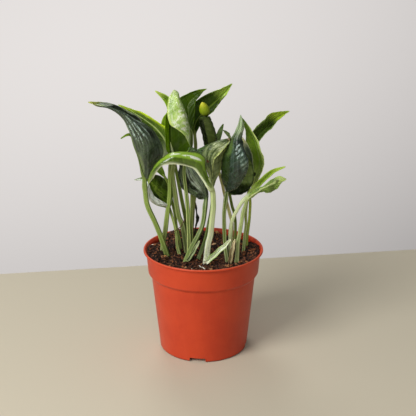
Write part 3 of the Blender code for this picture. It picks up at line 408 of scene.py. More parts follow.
# ---------------------------------------------------------------- leaves, mm
# front: the way a blade faces (tip_front: at its tip).  A blade in NETS has rib: its midrib's column, and
# keel: how sharply it folds there; flip: its rows are read from the other margin, which turns it over.
# The others have stations: midrib (x, y, z, half width left, half width right) from foot to tip, and shape:
# fold and roll, in degrees, that the half widths were drawn with.
# quilt, wave, rumple, pucker, groove: heights of the relief; ridge, reach: the midrib's thickness and length.
LEAVES = {
    "large_left": dict(front=(-0.1, -1, 0.1), rib=2, keel=0.8, flip=True, pucker=0.5, ridge=0.35, reach=0.4,
        quilt=0.3, veins=9, wave=0.45, rumple=0.7, groove=0.0),
    "bright_left": dict(front=(0, -1, 0.2), rib=2, quilt=0.25, veins=8, wave=0.4, rumple=0.4),
    "cream": dict(front=(0, -1, 0), rib=2, pucker=0.22, quilt=0.14, veins=9, wave=0.3, rumple=0.35,
        groove=0.2),
    "small_back": dict(front=(0, -1, 0), tip_front=(0, -1, 0.1), shape=(15, 10),
        stations=[(-31, 30, 206, 1.5, 1.5), (-33, 33, 217, 8.5, 6), (-32, 36, 228, 9, 6),
        (-32, 38, 238, 4, 6), (-37, 41, 248, 3, 4), (-48, 44, 256, 0.5, 0.5)], quilt=0.2, veins=8, wave=0.3,
        rumple=0.3),
    "top_left": dict(front=(0, -1, 0), rib=2, quilt=0.25, veins=8, wave=0.4, rumple=0.4),
    "top_right": dict(front=(0, -1, 0), rib=2, quilt=0.3, veins=9, wave=0.5, rumple=0.4),
    "rolled": dict(front=(0, -1, 0), rib=3, pucker=0.3, ridge=0.3, quilt=0.2, veins=7, wave=0.2, rumple=0.5,
        groove=0.0),
    "small_light": dict(front=(0, -1, 0), shape=(10, 10), stations=[(14, 28, 204, 1.1, 1.1),
        (15, 28, 212, 2.6, 2.6), (17, 28, 219, 2.3, 2.3), (20, 28, 226, 0.4, 0.4)], quilt=0.08, veins=6,
        wave=0.2, rumple=0.2),
    "olive": dict(front=(0, -1, 0.2), rib=2, keel=0.8, flip=True, pucker=0.5, ridge=0.2, reach=0.1,
        quilt=0.4, veins=14, wave=0.5, rumple=0.8, groove=0.0),
    "grey": dict(front=(-0.5, -0.85, 0.1), rib=2, keel=0.4, flip=True, pucker=0.7, ridge=0.2, reach=0.12,
        quilt=0.45, veins=12, wave=0.6, rumple=0.8, groove=0.0),
    "arch": dict(front=(0.3, -0.9, 0.4), rib=4, keel=1, flip=True, ridge=0.0, reach=0.9, quilt=0.12,
        veins=9, wave=0.15, rumple=0.3, groove=0.0),
    "cupped": dict(front=(-0.2, -0.9, 0.4), rib=2, pucker=0.35, quilt=0.3, veins=9, wave=0.3, rumple=0.3,
        groove=0.2),
    "curled_left": dict(front=(0, -1, 0.2), shape=(10, 15), stations=[(-39, 15, 176, 1.3, 1.3),
        (-43, 14, 182, 3, 4), (-51, 12, 195, 6, 5), (-58, 9, 206, 6, 5), (-64, 5, 214, 2, 3.4),
        (-71, 0, 222, 1.2, 1.2), (-79, -4, 219, 0.5, 0.5)], quilt=0.2, veins=9, wave=0.4, rumple=0.3),
    "big_dark": dict(front=(-0.1, -1, 0.1), rib=3, keel=0.6, flip=True, pucker=0.55, ridge=0.2, reach=0.12,
        quilt=0.45, veins=10, wave=0.3, rumple=0.8, groove=0.0),
    "right": dict(front=(-0.4, -1, 0.1), rib=2, quilt=0.25, veins=10, wave=0.35, rumple=0.4),
    "narrow": dict(front=(-0.2, -1, 0), shape=(15, 30), stations=[(47, 12, 170, 1.2, 1.2),
        (47, 12, 183, 2.5, 3.0), (46, 11, 196, 2.5, 3.0), (43, 10, 206, 3.9, 2.9), (38, 9, 217, 0.5, 0.5)],
        quilt=0.1, veins=8, wave=0.25, rumple=0.4),
    "upper_right": dict(front=(0, -1, 0.3), rib=2, quilt=0.2, veins=8, wave=0.5, rumple=0.4),
    "lime": dict(front=(0, -0.9, 0.5), shape=(15, 15), stations=[(44, -4, 162, 1.6, 1.6),
        (52, -5, 171, 3.2, 2.4), (59, -7, 179, 2.9, 2.3), (67, -9, 187, 2.4, 2.0),
        (79, -11, 193, 0.5, 0.5)], quilt=0.1, veins=8, wave=0.3, rumple=0.2),
    "crinkled": dict(front=(0, -0.9, 0.5), rib=2, pucker=0.4, quilt=0.35, veins=11, wave=0.7, rumple=0.5),
}
LEAF_ROWS = 110
LEAF_COLUMNS = 48            # across the whole blade
LEAF_THICKNESS = 0.42
TIP_HALF_WIDTH = 0.35        # of a net's tip that is given as one point
SHEATH_ROWS = 40
SHEATH_COLUMNS = 14
SHEATH_VEINS = 5
SHEATH_THICKNESS = 0.5
SHEATH_RELIEF = dict(veins=SHEATH_VEINS, rumple=0.3, wave=0.3, groove=0.1)
VEIN_SWEEP = 1.9             # how many veins' spacing a side vein climbs from midrib to margin
VEIN_CURVE = 0.85
UNDER_SEED = 40
SHEATH_SEED = 60

# Colours of each blade; under: what differs on its other side.  streak, vein: colour and share.
# edge, edge2, rib: colour and width, edge2 for the margin at U = 1.  half: tint and share over U > 0.5.
# tip, foot: colour, and where along the blade it starts or ends.  lines: strokes all along, colour and share.
# spots: (across -1..1, along 0..1, radius across, radius along, colour, share).  glints, paler strokes that
# are mostly painted highlights: the same and a kind: strokes between side veins, along the blade ("lines"),
# or plain.
LOOKS = {
    "large_left": dict(slot="leaf_dark", base=(40, 50, 34), dark=(8, 12, 8), streak=((64, 76, 60), 0.4),
        vein=((40, 50, 34), 0.2), edge=((172, 184, 152), 0.1), tip=((204, 212, 104), 0.88),
        foot=((60, 74, 40), 0.04), rib=((40, 50, 30), 0.03), gloss=0.4,
        spots=[(0.7, 0.79, 0.3, 0.05, (186, 198, 178), 0.85),
        (0.9, 0.64, 0.12, 0.05, (150, 166, 126), 0.7)],
        under=dict(base=(46, 60, 40), dark=(28, 38, 24), streak=((132, 150, 136), 0.25), fine=0.6,
            vein=((76, 90, 68), 0.25), edge=((84, 100, 60), 0.05), rib=((104, 122, 64), 0.05), rough=0.3,
            # The first two spots are painted shade: where the blade curves away from the light and in the
            # fold near the tip.
            lines=((96, 112, 84), 0.4), spots=[(-0.8, 0.39, 0.09, 0.05, (12, 16, 9), 0.9),
            (0.2, 0.72, 0.5, 0.05, (14, 20, 12), 0.6), (-0.9, 0.83, 0.5, 0.05, (176, 192, 150), 0.8),
            (-0.1, 0.12, 0.2, 0.1, (116, 132, 82), 0.7)],
            # Painted highlights: silver streaks of reflected light.
            glints=[(-0.4, 0.44, 0.4, 0.16, (172, 194, 184), 0.8, "lines"),
            (-0.7, 0.57, 0.35, 0.1, (172, 194, 182), 0.85, "lines")])),
    "bright_left": dict(slot="leaf_green", base=(78, 106, 22), dark=(50, 72, 14),
        # Its dark left margin is painted shadow, where the large left leaf shades it.
        streak=((120, 146, 60), 0.4), vein=((130, 156, 74), 0.4), edge=((24, 32, 10), 0.3),
        edge2=((204, 232, 44), 0.55), tip=((160, 184, 40), 0.8), foot=((198, 210, 166), 0.3),
        rib=((170, 188, 110), 0.06),
        under=dict(base=(90, 112, 50), dark=(50, 66, 26))),
    "cream": dict(slot="leaf_cream", base=(54, 78, 8), dark=(40, 60, 5), streak=((78, 106, 20), 0.35),
        vein=((70, 94, 18), 0.25), edge=((96, 128, 20), 0.04), tip=((190, 206, 130), 0.95),
        foot=((120, 146, 60), 0.1), rib=((80, 104, 30), 0.03),
        # The spot is painted light on the left strip, which the blade's own curl shades.
        spots=[(-0.68, 0.3, 0.42, 0.32, (122, 166, 16), 0.95)],
        under=dict(base=(184, 212, 116), dark=(116, 156, 44), streak=((226, 236, 204), 0.75), fine=0.9,
            vein=((112, 148, 50), 0.35), edge=((186, 206, 110), 0.035), tip=((196, 212, 150), 0.9),
            rib=((150, 178, 90), 0.03), gloss=0.6, rough=0.24,
            # Painted highlights: white streaks between the side veins.
            glints=[(0.75, 0.46, 0.4, 0.14, (246, 250, 236), 0.8, "veins")])),
    "small_back": dict(slot="leaf_green", base=(126, 162, 32), dark=(64, 92, 12),
        streak=((96, 126, 30), 0.3), vein=((92, 120, 34), 0.3), edge=((146, 178, 44), 0.15),
        tip=((192, 212, 90), 0.9), foot=((90, 116, 40), 0.15), rib=((104, 130, 46), 0.05)),
    "top_left": dict(slot="leaf_green", base=(56, 80, 4), dark=(42, 64, 5), streak=((80, 108, 16), 0.3),
        vein=((76, 102, 14), 0.3), edge=((112, 146, 18), 0.07), tip=((126, 158, 30), 0.86),
        foot=((100, 128, 36), 0.12), rib=((60, 86, 8), 0.03), gloss=0.2),
    "top_right": dict(slot="leaf_green", base=(60, 86, 14), dark=(38, 56, 7), streak=((76, 100, 22), 0.3),
        vein=((78, 104, 26), 0.3), edge=((104, 134, 26), 0.08), tip=((176, 204, 84), 0.72),
        foot=((96, 124, 36), 0.12), rib=((112, 138, 46), 0.05), gloss=0.22),
    "rolled": dict(slot="leaf_dark", base=(18, 26, 8), dark=(12, 18, 6), streak=((64, 82, 30), 0.7),
        fine=0.6, vein=((36, 48, 16), 0.2), edge=((20, 28, 10), 0.05), tip=((60, 76, 28), 0.9),
        foot=((40, 56, 18), 0.12), rib=((40, 52, 20), 0.03), half=((72, 86, 36), 0.75),
        under=dict(base=(16, 22, 8), dark=(8, 12, 4), streak=((60, 78, 28), 0.5),
            half=((84, 98, 46), 0.7))),
    "small_light": dict(slot="leaf_green", base=(180, 206, 138), dark=(140, 170, 98),
        streak=((126, 156, 88), 0.3), vein=((126, 154, 88), 0.3), edge=((140, 168, 90), 0.15),
        tip=((110, 140, 50), 0.8), foot=((100, 130, 60), 0.15), rib=((190, 216, 140), 0.08)),
    "olive": dict(slot="leaf_grey", base=(200, 214, 150), dark=(136, 152, 96),
        streak=((158, 172, 108), 0.7), fine=0.6, vein=((92, 106, 56), 0.4), edge=((220, 230, 136), 0.18),
        tip=((58, 80, 26), 0.83), foot=((100, 120, 60), 0.08), rib=((110, 126, 70), 0.04),
        lines=((84, 100, 50), 0.6),
        under=dict(base=(64, 82, 38), dark=(40, 54, 24), streak=((128, 142, 104), 0.7),
            vein=((118, 132, 88), 0.5), edge=((206, 222, 138), 0.17), lines=((144, 158, 106), 0.45),
            # Of the spots, the second is partly the blade's paler band, partly painted light where stalks in
            # front shade it.
            spots=[(-0.68, 0.57, 0.3, 0.07, (150, 164, 108), 0.5),
            (-0.4, 0.156, 0.32, 0.093, (156, 170, 108), 0.8), (-0.56, 0.3, 0.12, 0.017, (86, 36, 22), 0.9),
            (-0.6, 0.765, 0.7, 0.02, (170, 140, 112), 0.8)],
            glints=[(-0.66, 0.575, 0.45, 0.13, (198, 208, 168), 0.85, "lines"),
            (-0.8, 0.35, 0.3, 0.155, (170, 184, 128), 0.7, "lines")])),
    "grey": dict(slot="leaf_grey", base=(50, 64, 30), dark=(24, 34, 14), streak=((90, 106, 66), 0.5),
        vein=((70, 86, 50), 0.3), edge=((90, 106, 66), 0.06), tip=((62, 92, 36), 0.68),
        foot=((70, 90, 44), 0.1), rib=((60, 76, 40), 0.03),
        under=dict(base=(84, 99, 70), dark=(54, 65, 45), streak=((140, 154, 136), 0.45), fine=0.9,
            vein=((36, 46, 30), 0.35), edge=((100, 116, 84), 0.06), rib=((96, 112, 78), 0.03),
            # Of the spots, the near-black third is painted shade in the gap beside the stalk, and the last is
            # painted shade on the fold low on the blade.
            lines=((16, 22, 12), 0.9), spots=[(-0.1, 0.4, 0.6, 0.2, (136, 152, 128), 0.75),
            (0.2, 0.36, 0.14, 0.2, (176, 190, 172), 0.9), (0.44, 0.35, 0.13, 0.17, (6, 9, 6), 0.97),
            (0.85, 0.4, 0.2, 0.2, (104, 122, 76), 0.6), (0.62, 0.12, 0.4, 0.06, (18, 30, 16), 0.85)])),
    "arch": dict(slot="leaf_lime", base=(76, 102, 12), dark=(50, 74, 6), streak=((122, 150, 56), 0.35),
        vein=((110, 140, 44), 0.25), edge=((150, 170, 90), 0.1), tip=((130, 152, 70), 0.9),
        foot=((146, 168, 88), 0.18), rib=((222, 232, 196), 0.12), gloss=0.7, rough=0.2,
        # The spot is painted light along the arch's top; the glints are painted highlights.
        spots=[(0.56, 0.5, 0.16, 0.36, (150, 188, 60), 0.75)],
        glints=[(0.5, 0.46, 0.06, 0.1, (248, 252, 244), 0.75, "plain"),
        (0.56, 0.61, 0.06, 0.06, (244, 250, 236), 0.6, "plain")],
        under=dict(base=(120, 142, 74), dark=(84, 108, 44))),
    "cupped": dict(slot="leaf_dark", base=(92, 122, 28), dark=(20, 32, 5), streak=((104, 130, 44), 0.8),
        fine=0.6, vein=((84, 110, 34), 0.5), edge=((140, 160, 100), 0.06), edge2=((176, 190, 170), 0.12),
        tip=((150, 166, 130), 0.86), foot=((80, 104, 40), 0.1), rib=((112, 138, 56), 0.05), rough=0.22,
        spots=[(0.8, 0.35, 0.3, 0.3, (24, 34, 8), 0.8)],
        glints=[(0.25, 0.42, 0.3, 0.25, (164, 192, 70), 0.75, "lines")],
        under=dict(base=(238, 244, 238), dark=(184, 196, 184), streak=((212, 222, 212), 0.8),
            edge=((232, 238, 226), 0.16))),
    "curled_left": dict(slot="leaf_green", base=(92, 122, 36), dark=(62, 90, 20),
        streak=((124, 150, 62), 0.3), vein=((114, 142, 58), 0.3), edge=((130, 158, 54), 0.1),
        tip=((120, 148, 40), 0.7), foot=((100, 128, 40), 0.15), rib=((124, 150, 62), 0.06)),
    "big_dark": dict(slot="leaf_dark", base=(150, 172, 100), dark=(96, 116, 54), streak=((70, 90, 36), 0.4),
        vein=((36, 48, 14), 0.3), edge=((60, 80, 30), 0.05), tip=((150, 168, 130), 0.86),
        foot=((60, 80, 34), 0.05), rib=((40, 54, 20), 0.03), rough=0.3,
        # The spot is painted shade on the low end of the folded-over half.
        spots=[(0.85, 0.15, 0.5, 0.12, (18, 30, 6), 0.95)],
        under=dict(base=(30, 48, 29), dark=(20, 33, 19), streak=((126, 150, 140), 0.2), fine=0.5,
            vein=((92, 114, 104), 0.25), edge=((132, 156, 122), 0.06), tip=((156, 176, 134), 0.79),
            rib=((36, 50, 22), 0.03), gloss=0.5, rough=0.24, half=((40, 58, 14), 0.85),
            # Of the spots, the second is a painted sheen; the glints are painted highlights on the quilted
            # ridges.
            spots=[(0.25, 0.62, 0.4, 0.12, (92, 116, 58), 0.8),
            (-0.66, 0.5, 0.2, 0.16, (84, 108, 92), 0.5)],
            glints=[(-0.46, 0.57, 0.22, 0.11, (190, 214, 206), 0.9, "veins"),
            (-0.7, 0.46, 0.26, 0.12, (160, 186, 172), 0.7, "veins")])),
    "right": dict(slot="leaf_green", base=(128, 162, 44), dark=(96, 126, 26), streak=((90, 114, 34), 0.4),
        # Its pale right margin and pale foot are partly its own colour, partly painted light where the big
        # dark leaf shades it.
        vein=((90, 114, 34), 0.35), edge=((70, 92, 20), 0.08), edge2=((226, 244, 150), 0.75),
        tip=((96, 122, 40), 0.88), foot=((228, 240, 160), 0.42), rib=((130, 152, 80), 0.05), gloss=0.4,
        spots=[(-0.3, 0.24, 0.16, 0.03, (10, 10, 5), 1.0), (-0.62, 0.18, 0.3, 0.1, (30, 42, 8), 0.8),
        (-0.6, 0.42, 0.3, 0.2, (84, 110, 28), 0.6)]),
    "narrow": dict(slot="leaf_dark", base=(80, 98, 68), dark=(48, 62, 40), streak=((150, 166, 150), 0.8),
        fine=0.5, vein=((120, 138, 110), 0.3), edge=((170, 182, 136), 0.2), tip=((214, 212, 164), 0.84),
        foot=((84, 108, 48), 0.15), rib=((106, 126, 84), 0.06)),
    "upper_right": dict(slot="leaf_green", base=(80, 108, 30), dark=(36, 52, 12),
        streak=((84, 108, 44), 0.4), vein=((78, 102, 38), 0.35), edge=((140, 166, 84), 0.3),
        edge2=((140, 166, 84), 0.3), tip=((172, 200, 54), 0.66), foot=((56, 78, 26), 0.1),
        rib=((76, 98, 34), 0.04), gloss=0.4),
    "lime": dict(slot="leaf_lime", base=(122, 150, 26), dark=(96, 126, 22), streak=((160, 184, 72), 0.4),
        vein=((154, 180, 72), 0.4), edge=((150, 180, 56), 0.2), tip=((164, 190, 70), 0.8),
        foot=((176, 198, 112), 0.42), rib=((100, 130, 24), 0.08)),
    "crinkled": dict(slot="leaf_lime", base=(104, 132, 48), dark=(56, 76, 26), streak=((140, 164, 86), 0.7),
        fine=0.5, vein=((124, 148, 72), 0.5), edge=((140, 166, 74), 0.12), tip=((176, 198, 112), 0.78),
        foot=((140, 166, 74), 0.3), rib=((190, 204, 140), 0.1),
        spots=[(0.4, 0.55, 0.4, 0.08, (34, 48, 12), 0.5), (0.1, 0.75, 0.3, 0.06, (44, 60, 18), 0.7)]),
}

# Sheaths beside the stalks, each on a midrib of its own like the simple blades.
SHEATHS = {
    "sheath_arch": dict(front=(-0.1, -1, 0.3), shape=(30, 50), stations=[(3, -25, 100, 2, 2),
        (8.5, -25.5, 105, 2.4, 2.4), (15, -24.5, 111, 2.4, 2.4), (21.5, -23, 116.5, 1.9, 1.9),
        (27, -21.5, 122.5, 0.5, 0.5)]),
    "sheath_papery": dict(front=(0.2, -1, 0.1), shape=(15, 50), stations=[(26, -20, 96, 2, 2),
        (28, -20, 110, 2, 2), (31, -20, 122, 0.4, 0.4)]),
    "sheath_grey": dict(front=(0.3, -1, 0.2), shape=(15, 50), stations=[(-15.5, -22, 100.5, 1.5, 1.5),
        (-9.5, -21, 110, 1.6, 1.6), (-3.5, -19, 120, 0.4, 0.4)]),
}
SHEATH_LOOKS = {
    "sheath_arch": dict(base=(232, 238, 216), dark=(204, 216, 172), streak=((240, 244, 228), 0.6),
        vein=((170, 190, 110), 0.1), edge=((164, 190, 108), 0.22), tip=((224, 232, 196), 0.7),
        foot=((226, 232, 206), 0.2), rib=((210, 220, 180), 0.1)),
    "sheath_papery": dict(base=(206, 196, 150), dark=(160, 146, 104), streak=((226, 218, 180), 0.7),
        vein=((150, 130, 90), 0.1), edge=((150, 124, 88), 0.2), tip=((226, 214, 168), 0.6),
        foot=((110, 96, 66), 0.3), rib=((190, 180, 130), 0.1)),
    "sheath_grey": dict(base=(166, 182, 130), dark=(120, 138, 88), streak=((196, 208, 164), 0.6),
        vein=((130, 146, 90), 0.1), edge=((150, 164, 110), 0.2), tip=((190, 200, 150), 0.7),
        foot=((110, 122, 80), 0.3), rib=((150, 166, 110), 0.1)),
}


# ---------------------------------------------------------------- small helpers
def linear(colour):
    """A 0-255 display colour as linear RGBA."""
    parts = [(c / 255 / 12.92) if c <= 10 else ((c / 255 + 0.055) / 1.055) ** 2.4 for c in colour]
    return (*parts, 1.0)


def mix3(a, b, share):
    return tuple(x + (y - x) * share for x, y in zip(a, b))


def ease(value, low, high):
    """0 at low, 1 at high, smooth between."""
    t = min(1.0, max(0.0, (value - low) / (high - low)))
    return t * t * (3.0 - 2.0 * t)


def bell(value, width):
    return math.exp(-(value / width) ** 2)


def through(points, place):
    """Catmull-Rom through tuples of numbers, at a fractional index."""
    index = min(int(place), len(points) - 2)
    t = place - index
    before, start = points[max(index - 1, 0)], points[index]
    end, after = points[index + 1], points[min(index + 2, len(points) - 1)]
    return [0.5 * (2 * b + (c - a) * t + (2 * a - 5 * b + 4 * c - d) * t * t
                   + (3 * b - a - 3 * c + d) * t ** 3)
            for a, b, c, d in zip(before, start, end, after)]


def smooth_rows(rows, count):
    """Catmull-Rom rows through the given ones, evenly spread over their intervals."""
    return [through(rows, step * (len(rows) - 1) / (count - 1)) for step in range(count)]


def smooth_route(route, count):
    return [Vector(row) for row in smooth_rows(route, count)]


def route_length(route):
    return sum((Vector(b[:3]) - Vector(a[:3])).length for a, b in zip(route, route[1:]))


def circle(radius, z, count):
    return [Vector((radius * math.cos(TAU * n / count), radius * math.sin(TAU * n / count), z))
            for n in range(count)]


def grid_mesh(name, lines, closed=False, caps=False):
    """A mesh over rows of points in mm, with UVs: U across or round, V along."""
    rows, columns = len(lines), len(lines[0])
    verts = [tuple(c * MM for c in point) for line in lines for point in line]
    faces, coords = [], []
    spans = columns if closed else columns - 1
    for r in range(rows - 1):
        for c in range(spans):
            d = (c + 1) % columns
            faces.append((r * columns + c, r * columns + d, (r + 1) * columns + d, (r + 1) * columns + c))
            for cc, rr in ((c, r), (c + 1, r), (c + 1, r + 1), (c, r + 1)):
                coords += [cc / spans, rr / (rows - 1)]
    if caps:
        for r, order in ((0, 1), (rows - 1, -1)):
            faces.append(tuple([r * columns + c for c in range(columns)][::-order]))
            for c in range(columns):
                coords += [c / columns, r / (rows - 1)]
    mesh = bpy.data.meshes.new(name)
    mesh.from_pydata(verts, [], faces)
    mesh.uv_layers.new(name="UVMap").data.foreach_set("uv", coords)
    mesh.shade_smooth()
    return mesh


def link(name, data):
    """A new object in the scene."""
    thing = bpy.data.objects.new(name, data)
    bpy.context.scene.collection.objects.link(thing)
    return thing


def piece(name, mesh, slot, *surfaces, replaces=()):
    """Links a mesh as a piece of the object, riding on the one body."""
    thing = link(name, mesh)
    for surface in surfaces:
        mesh.materials.append(surface)
    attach(thing, "root")
    if replaces:
        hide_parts(*replaces)
    return thing


# ---------------------------------------------------------------- node trees
def operation(kind):
    return lambda self, other: self.nodes.math(kind, self, other)


class Term:
    """The output of one node; arithmetic on it adds Math nodes."""

    def __init__(self, nodes, socket):
        self.nodes = nodes
        self.socket = socket

    __add__ = operation("ADD")
    __sub__ = operation("SUBTRACT")
    __mul__ = operation("MULTIPLY")
    __truediv__ = operation("DIVIDE")
    __pow__ = operation("POWER")
    __gt__ = operation("GREATER_THAN")
    __lt__ = operation("LESS_THAN")

    def __abs__(self):
        return self.nodes.math("ABSOLUTE", self)


class Nodes:
    """A node tree, built a step at a time."""

    def __init__(self, tree):
        self.tree = tree

    def feed(self, socket, value):
        if isinstance(value, Term):
            self.tree.links.new(value.socket, socket)
        else:
            socket.default_value = value

    def add(self, kind, *values, **settings):
        """A new node whose first inputs take the values."""
        made = self.tree.nodes.new(kind)
        for key, value in settings.items():
            setattr(made, key, value)
        for socket, value in zip(made.inputs, values):
            self.feed(socket, value)
        return made

    def term(self, kind, *values, **settings):
        return Term(self, self.add(kind, *values, **settings).outputs[0])

    def output(self, kind, name):
        return Term(self, self.add(kind).outputs[name])

    def math(self, kind, a, b=0.0):
        return self.term("ShaderNodeMath", a, b, operation=kind)

    def larger(self, a, b):
        return self.math("MAXIMUM", a, b)

    def split(self, vector):
        made = self.add("ShaderNodeSeparateXYZ", vector)
        return [Term(self, socket) for socket in made.outputs]

    def clamp(self, value, low, high):
        return self.term("ShaderNodeClamp", value, low, high)

    def band(self, value, low, high, top=1.0):
        """0 at low, top at high, smooth between."""
        return self.term("ShaderNodeMapRange", value, low, high, 0.0, top, interpolation_type="SMOOTHSTEP")

    def spread(self, value, low, high):
        """Maps 0..1 to low..high."""
        return self.term("ShaderNodeMapRange", value, 0.0, 1.0, low, high)

    def vector(self, x, y, z):
        return self.term("ShaderNodeCombineXYZ", x, y, z)

    def zigzag(self, value):
        """How far a number is from the middle of its unit step: 0 to 0.5 and back."""
        return abs(self.math("FRACT", value) - 0.5)

    def mix(self, share, a, b):
        made = self.add("ShaderNodeMix", share, data_type="RGBA")
        for socket, colour in zip(made.inputs[6:8], (a, b)):
            self.feed(socket, linear(colour) if isinstance(colour, tuple) else colour)
        return Term(self, made.outputs[2])

    def noise(self, vector, scale, detail=2.0, rough=0.5, distortion=0.0):
        made = self.add("ShaderNodeTexNoise", vector)
        for key, value in (("Scale", scale), ("Detail", detail), ("Roughness", rough),
                           ("Distortion", distortion)):
            made.inputs[key].default_value = value
        return Term(self, made.outputs[0])


class Shade(Nodes):
    """One node material; its keyword settings go on the shader's own sockets."""

    def __init__(self, name, gloss=0.3, **settings):
        self.material = bpy.data.materials.new(name)
        self.material.use_nodes = True
        super().__init__(self.material.node_tree)
        self.shader = self.tree.nodes["Principled BSDF"]
        self.shader.inputs["Specular IOR Level"].default_value = gloss
        for key, value in settings.items():
            self.shader.inputs[key.replace("_", " ")].default_value = value
        self.place = self.output("ShaderNodeTexCoord", "Object")

    def uv(self):
        return self.split(self.output("ShaderNodeTexCoord", "UV"))[:2]

    def bump(self, height, strength, distance):
        made = self.add("ShaderNodeBump")
        for key, value in (("Strength", strength), ("Distance", distance), ("Height", height)):
            self.feed(made.inputs[key], value)
        self.feed(self.shader.inputs["Normal"], Term(self, made.outputs[0]))

    def finish(self, colour, roughness):
        self.feed(self.shader.inputs["Base Color"], colour)
        self.feed(self.shader.inputs["Roughness"], roughness)
        return self.material


# ---------------------------------------------------------------- materials
def leaf_surface(name, look, seed, veins, under=False):
    """Blade tissue: mottling, lengthwise streaks, side veins, midrib, margin, tip, foot, spots and glints.

    An under side without colours of its own takes the upper side's, paler and less streaked.
    """
    shade = Shade(name, look.get("gloss", 0.3), Subsurface_Weight=0.06,
                  Subsurface_Radius=(0.0015, 0.003, 0.0006), Subsurface_Scale=0.5)
    mix, band, place = shade.mix, shade.band, shade.place
    u, v = shade.uv()
    side = u * 2.0 - 1.0
    across = abs(side)
    base, dark = look["base"], look["dark"]
    streak_tint, streak_share = look["streak"]
    if under:
        base, dark = mix3(base, streak_tint, 0.45), mix3(dark, streak_tint, 0.2)
        streak_share *= 0.5

    def strokes(repeats_u, repeats_v, shift, detail, rough, distortion):
        """Noise drawn out along the blade."""
        stretched = shade.vector(u * repeats_u, v * repeats_v, seed * shift)
        return shade.noise(stretched, 1.0, detail, rough, distortion)

    def distance(centre, along, wide, tall):
        """Squared distance from a spot's centre, 1 on its outline."""
        dx, dy = (side - centre) / wide, (v - along) / tall
        return dx * dx + dy * dy

    broad = band(shade.noise(place, 85.0, 3.0, 0.55), 0.34, 0.68)
    colour = mix(broad, base, dark)
    # Side veins sweep from the midrib towards the tip.
    phase = v * float(veins) - across ** VEIN_CURVE * VEIN_SWEEP
    wander = shade.noise(place, 140.0, 2.0) * 0.35
    vein = band(shade.zigzag(phase + wander), 0.38, 0.5)
    tint, share = look["vein"]
    colour = mix(vein * share, colour, tint)
    streak = band(strokes(15.0, 3.0, 1.7, 4.0, 0.62, 0.6), 0.50, 0.66)
    silver = streak
    if "fine" in look:
        silver = shade.larger(streak, band(strokes(38.0, 9.0, 2.9, 3.0, 0.6, 1.2), 0.50, 0.62, look["fine"]))
    colour = mix(silver * streak_share, colour, streak_tint)
    strand = band(strokes(26.0, 2.6, 4.1, 2.0, 0.5, 1.1), 0.5, 0.57)
    if "half" in look:
        tint, share = look["half"]
        colour = mix(band(side, -0.03, 0.03, share), colour, tint)
    # Margins: the blade's own colour, and in a few looks painted shadow and painted light.
    edge = across + broad * 0.04
    tint, width = look["edge"]
    margin = band(edge, 1.0 - width, 1.0)
    if "edge2" in look:
        tint2, width2 = look["edge2"]
        colour = mix(band(edge, 1.0 - width2, 1.0) * (side > 0.0), colour, tint2)
        margin = margin * (side < 0.0)
    colour = mix(margin, colour, tint)
    tint, start = look["tip"]
    colour = mix(band(v + streak * 0.03, start - 0.1, min(1.0, start + 0.1)), colour, tint)
    # Foot: the blade's own colour, and in one look partly painted light.
    tint, end = look["foot"]
    colour = mix(band(v, end, 0.0), colour, tint)
    tint, width = look["rib"]
    colour = mix(band(across / ((v + 0.75) * width), 1.6, 0.5) * 0.85, colour, tint)
    # Spots: marks of the blade's own colour, and in some looks painted shade and painted light.
    for *where, tint, share in look.get("spots", ()):
        ragged = distance(*where) + shade.noise(place, 420.0, 2.0) * 0.7
        colour = mix(band(ragged, 1.7, 0.7, share), colour, tint)
    if "lines" in look:
        tint, share = look["lines"]
        colour = mix(strand * share, colour, tint)
        silver = shade.larger(silver, strand * share)
    # Glints: paler strokes, on most blades painted highlights and sheen.
    for *where, tint, share, kind in look.get("glints", ()):
        patchy = shade.noise(place, 330.0, 3.0, 0.6, 0.8)
        if kind == "veins":
            stroke = band(shade.zigzag(phase * 1.7 + wander * 2.2), 0.4, 0.16) * band(patchy, 0.4, 0.58)
        elif kind == "lines":
            stroke = strand * band(patchy, 0.36, 0.56)
        else:
            stroke = band(patchy, 0.36, 0.5)
        colour = mix(stroke * band(distance(*where), 1.0, 0.25, share), colour, tint)
    fine = shade.noise(place, 900.0, 3.0, 0.6)
    colour = mix(band(fine, 0.45, 0.75) * 0.3, colour, mix3(base, streak_tint, 0.5))
    shade.bump(vein * -0.55 + silver * 0.45 + fine * 0.25, 0.55, 0.0004)
    rough = look.get("rough", 0.24) + (0.08 if under else 0.0)
    return shade.finish(colour, shade.spread(broad, rough - 0.06, rough + 0.1))


def stalk_surface(name, look, seed, length, stem_share, rib):
    """Leaf stalk: colour from foot to blade, pale edge lines along its groove, fine streaks and flecks."""
    foot, middle, top, line, share = look
    shade = Shade(name, 0.35, Subsurface_Weight=0.12, Subsurface_Radius=(0.0015, 0.003, 0.0008),
                  Subsurface_Scale=0.6)
    mix, band, place = shade.mix, shade.band, shade.place
    u, v = shade.uv()
    colour = mix(band(v, 0.06, 0.34), foot, middle)
    colour = mix(band(v, 0.5, 0.95), colour, top)
    lines = shade.vector(u * 16.0, v * (length / 28.0), seed * 2.3)
    streak = band(shade.noise(lines, 1.0, 3.0, 0.6), 0.42, 0.7)
    colour = mix(streak * 0.4, colour, mix3(middle, (20, 40, 8), 0.45))
    # The groove's two edges run up the front, at a fifth of the girth from each other.
    colour = mix(band(abs(abs(u - 0.5) - 0.105), 0.05, 0.012, share), colour, line)
    flecks = band(shade.noise(place, 1300.0, 2.0, 0.5), 0.60, 0.72)
    colour = mix(flecks * 0.35, colour, mix3(line, (240, 245, 220), 0.4))
    colour = mix(band(v, stem_share, stem_share + 0.08, 0.85), colour, rib)
    dirt = band(v, 0.13, 0.03) * band(shade.noise(place, 500.0, 3.0), 0.42, 0.62)
    colour = mix(dirt * 0.5, colour, (48, 34, 24))
    shade.bump(streak + flecks * 0.4, 0.35, 0.00025)
    return shade.finish(colour, shade.spread(streak, 0.34, 0.5))


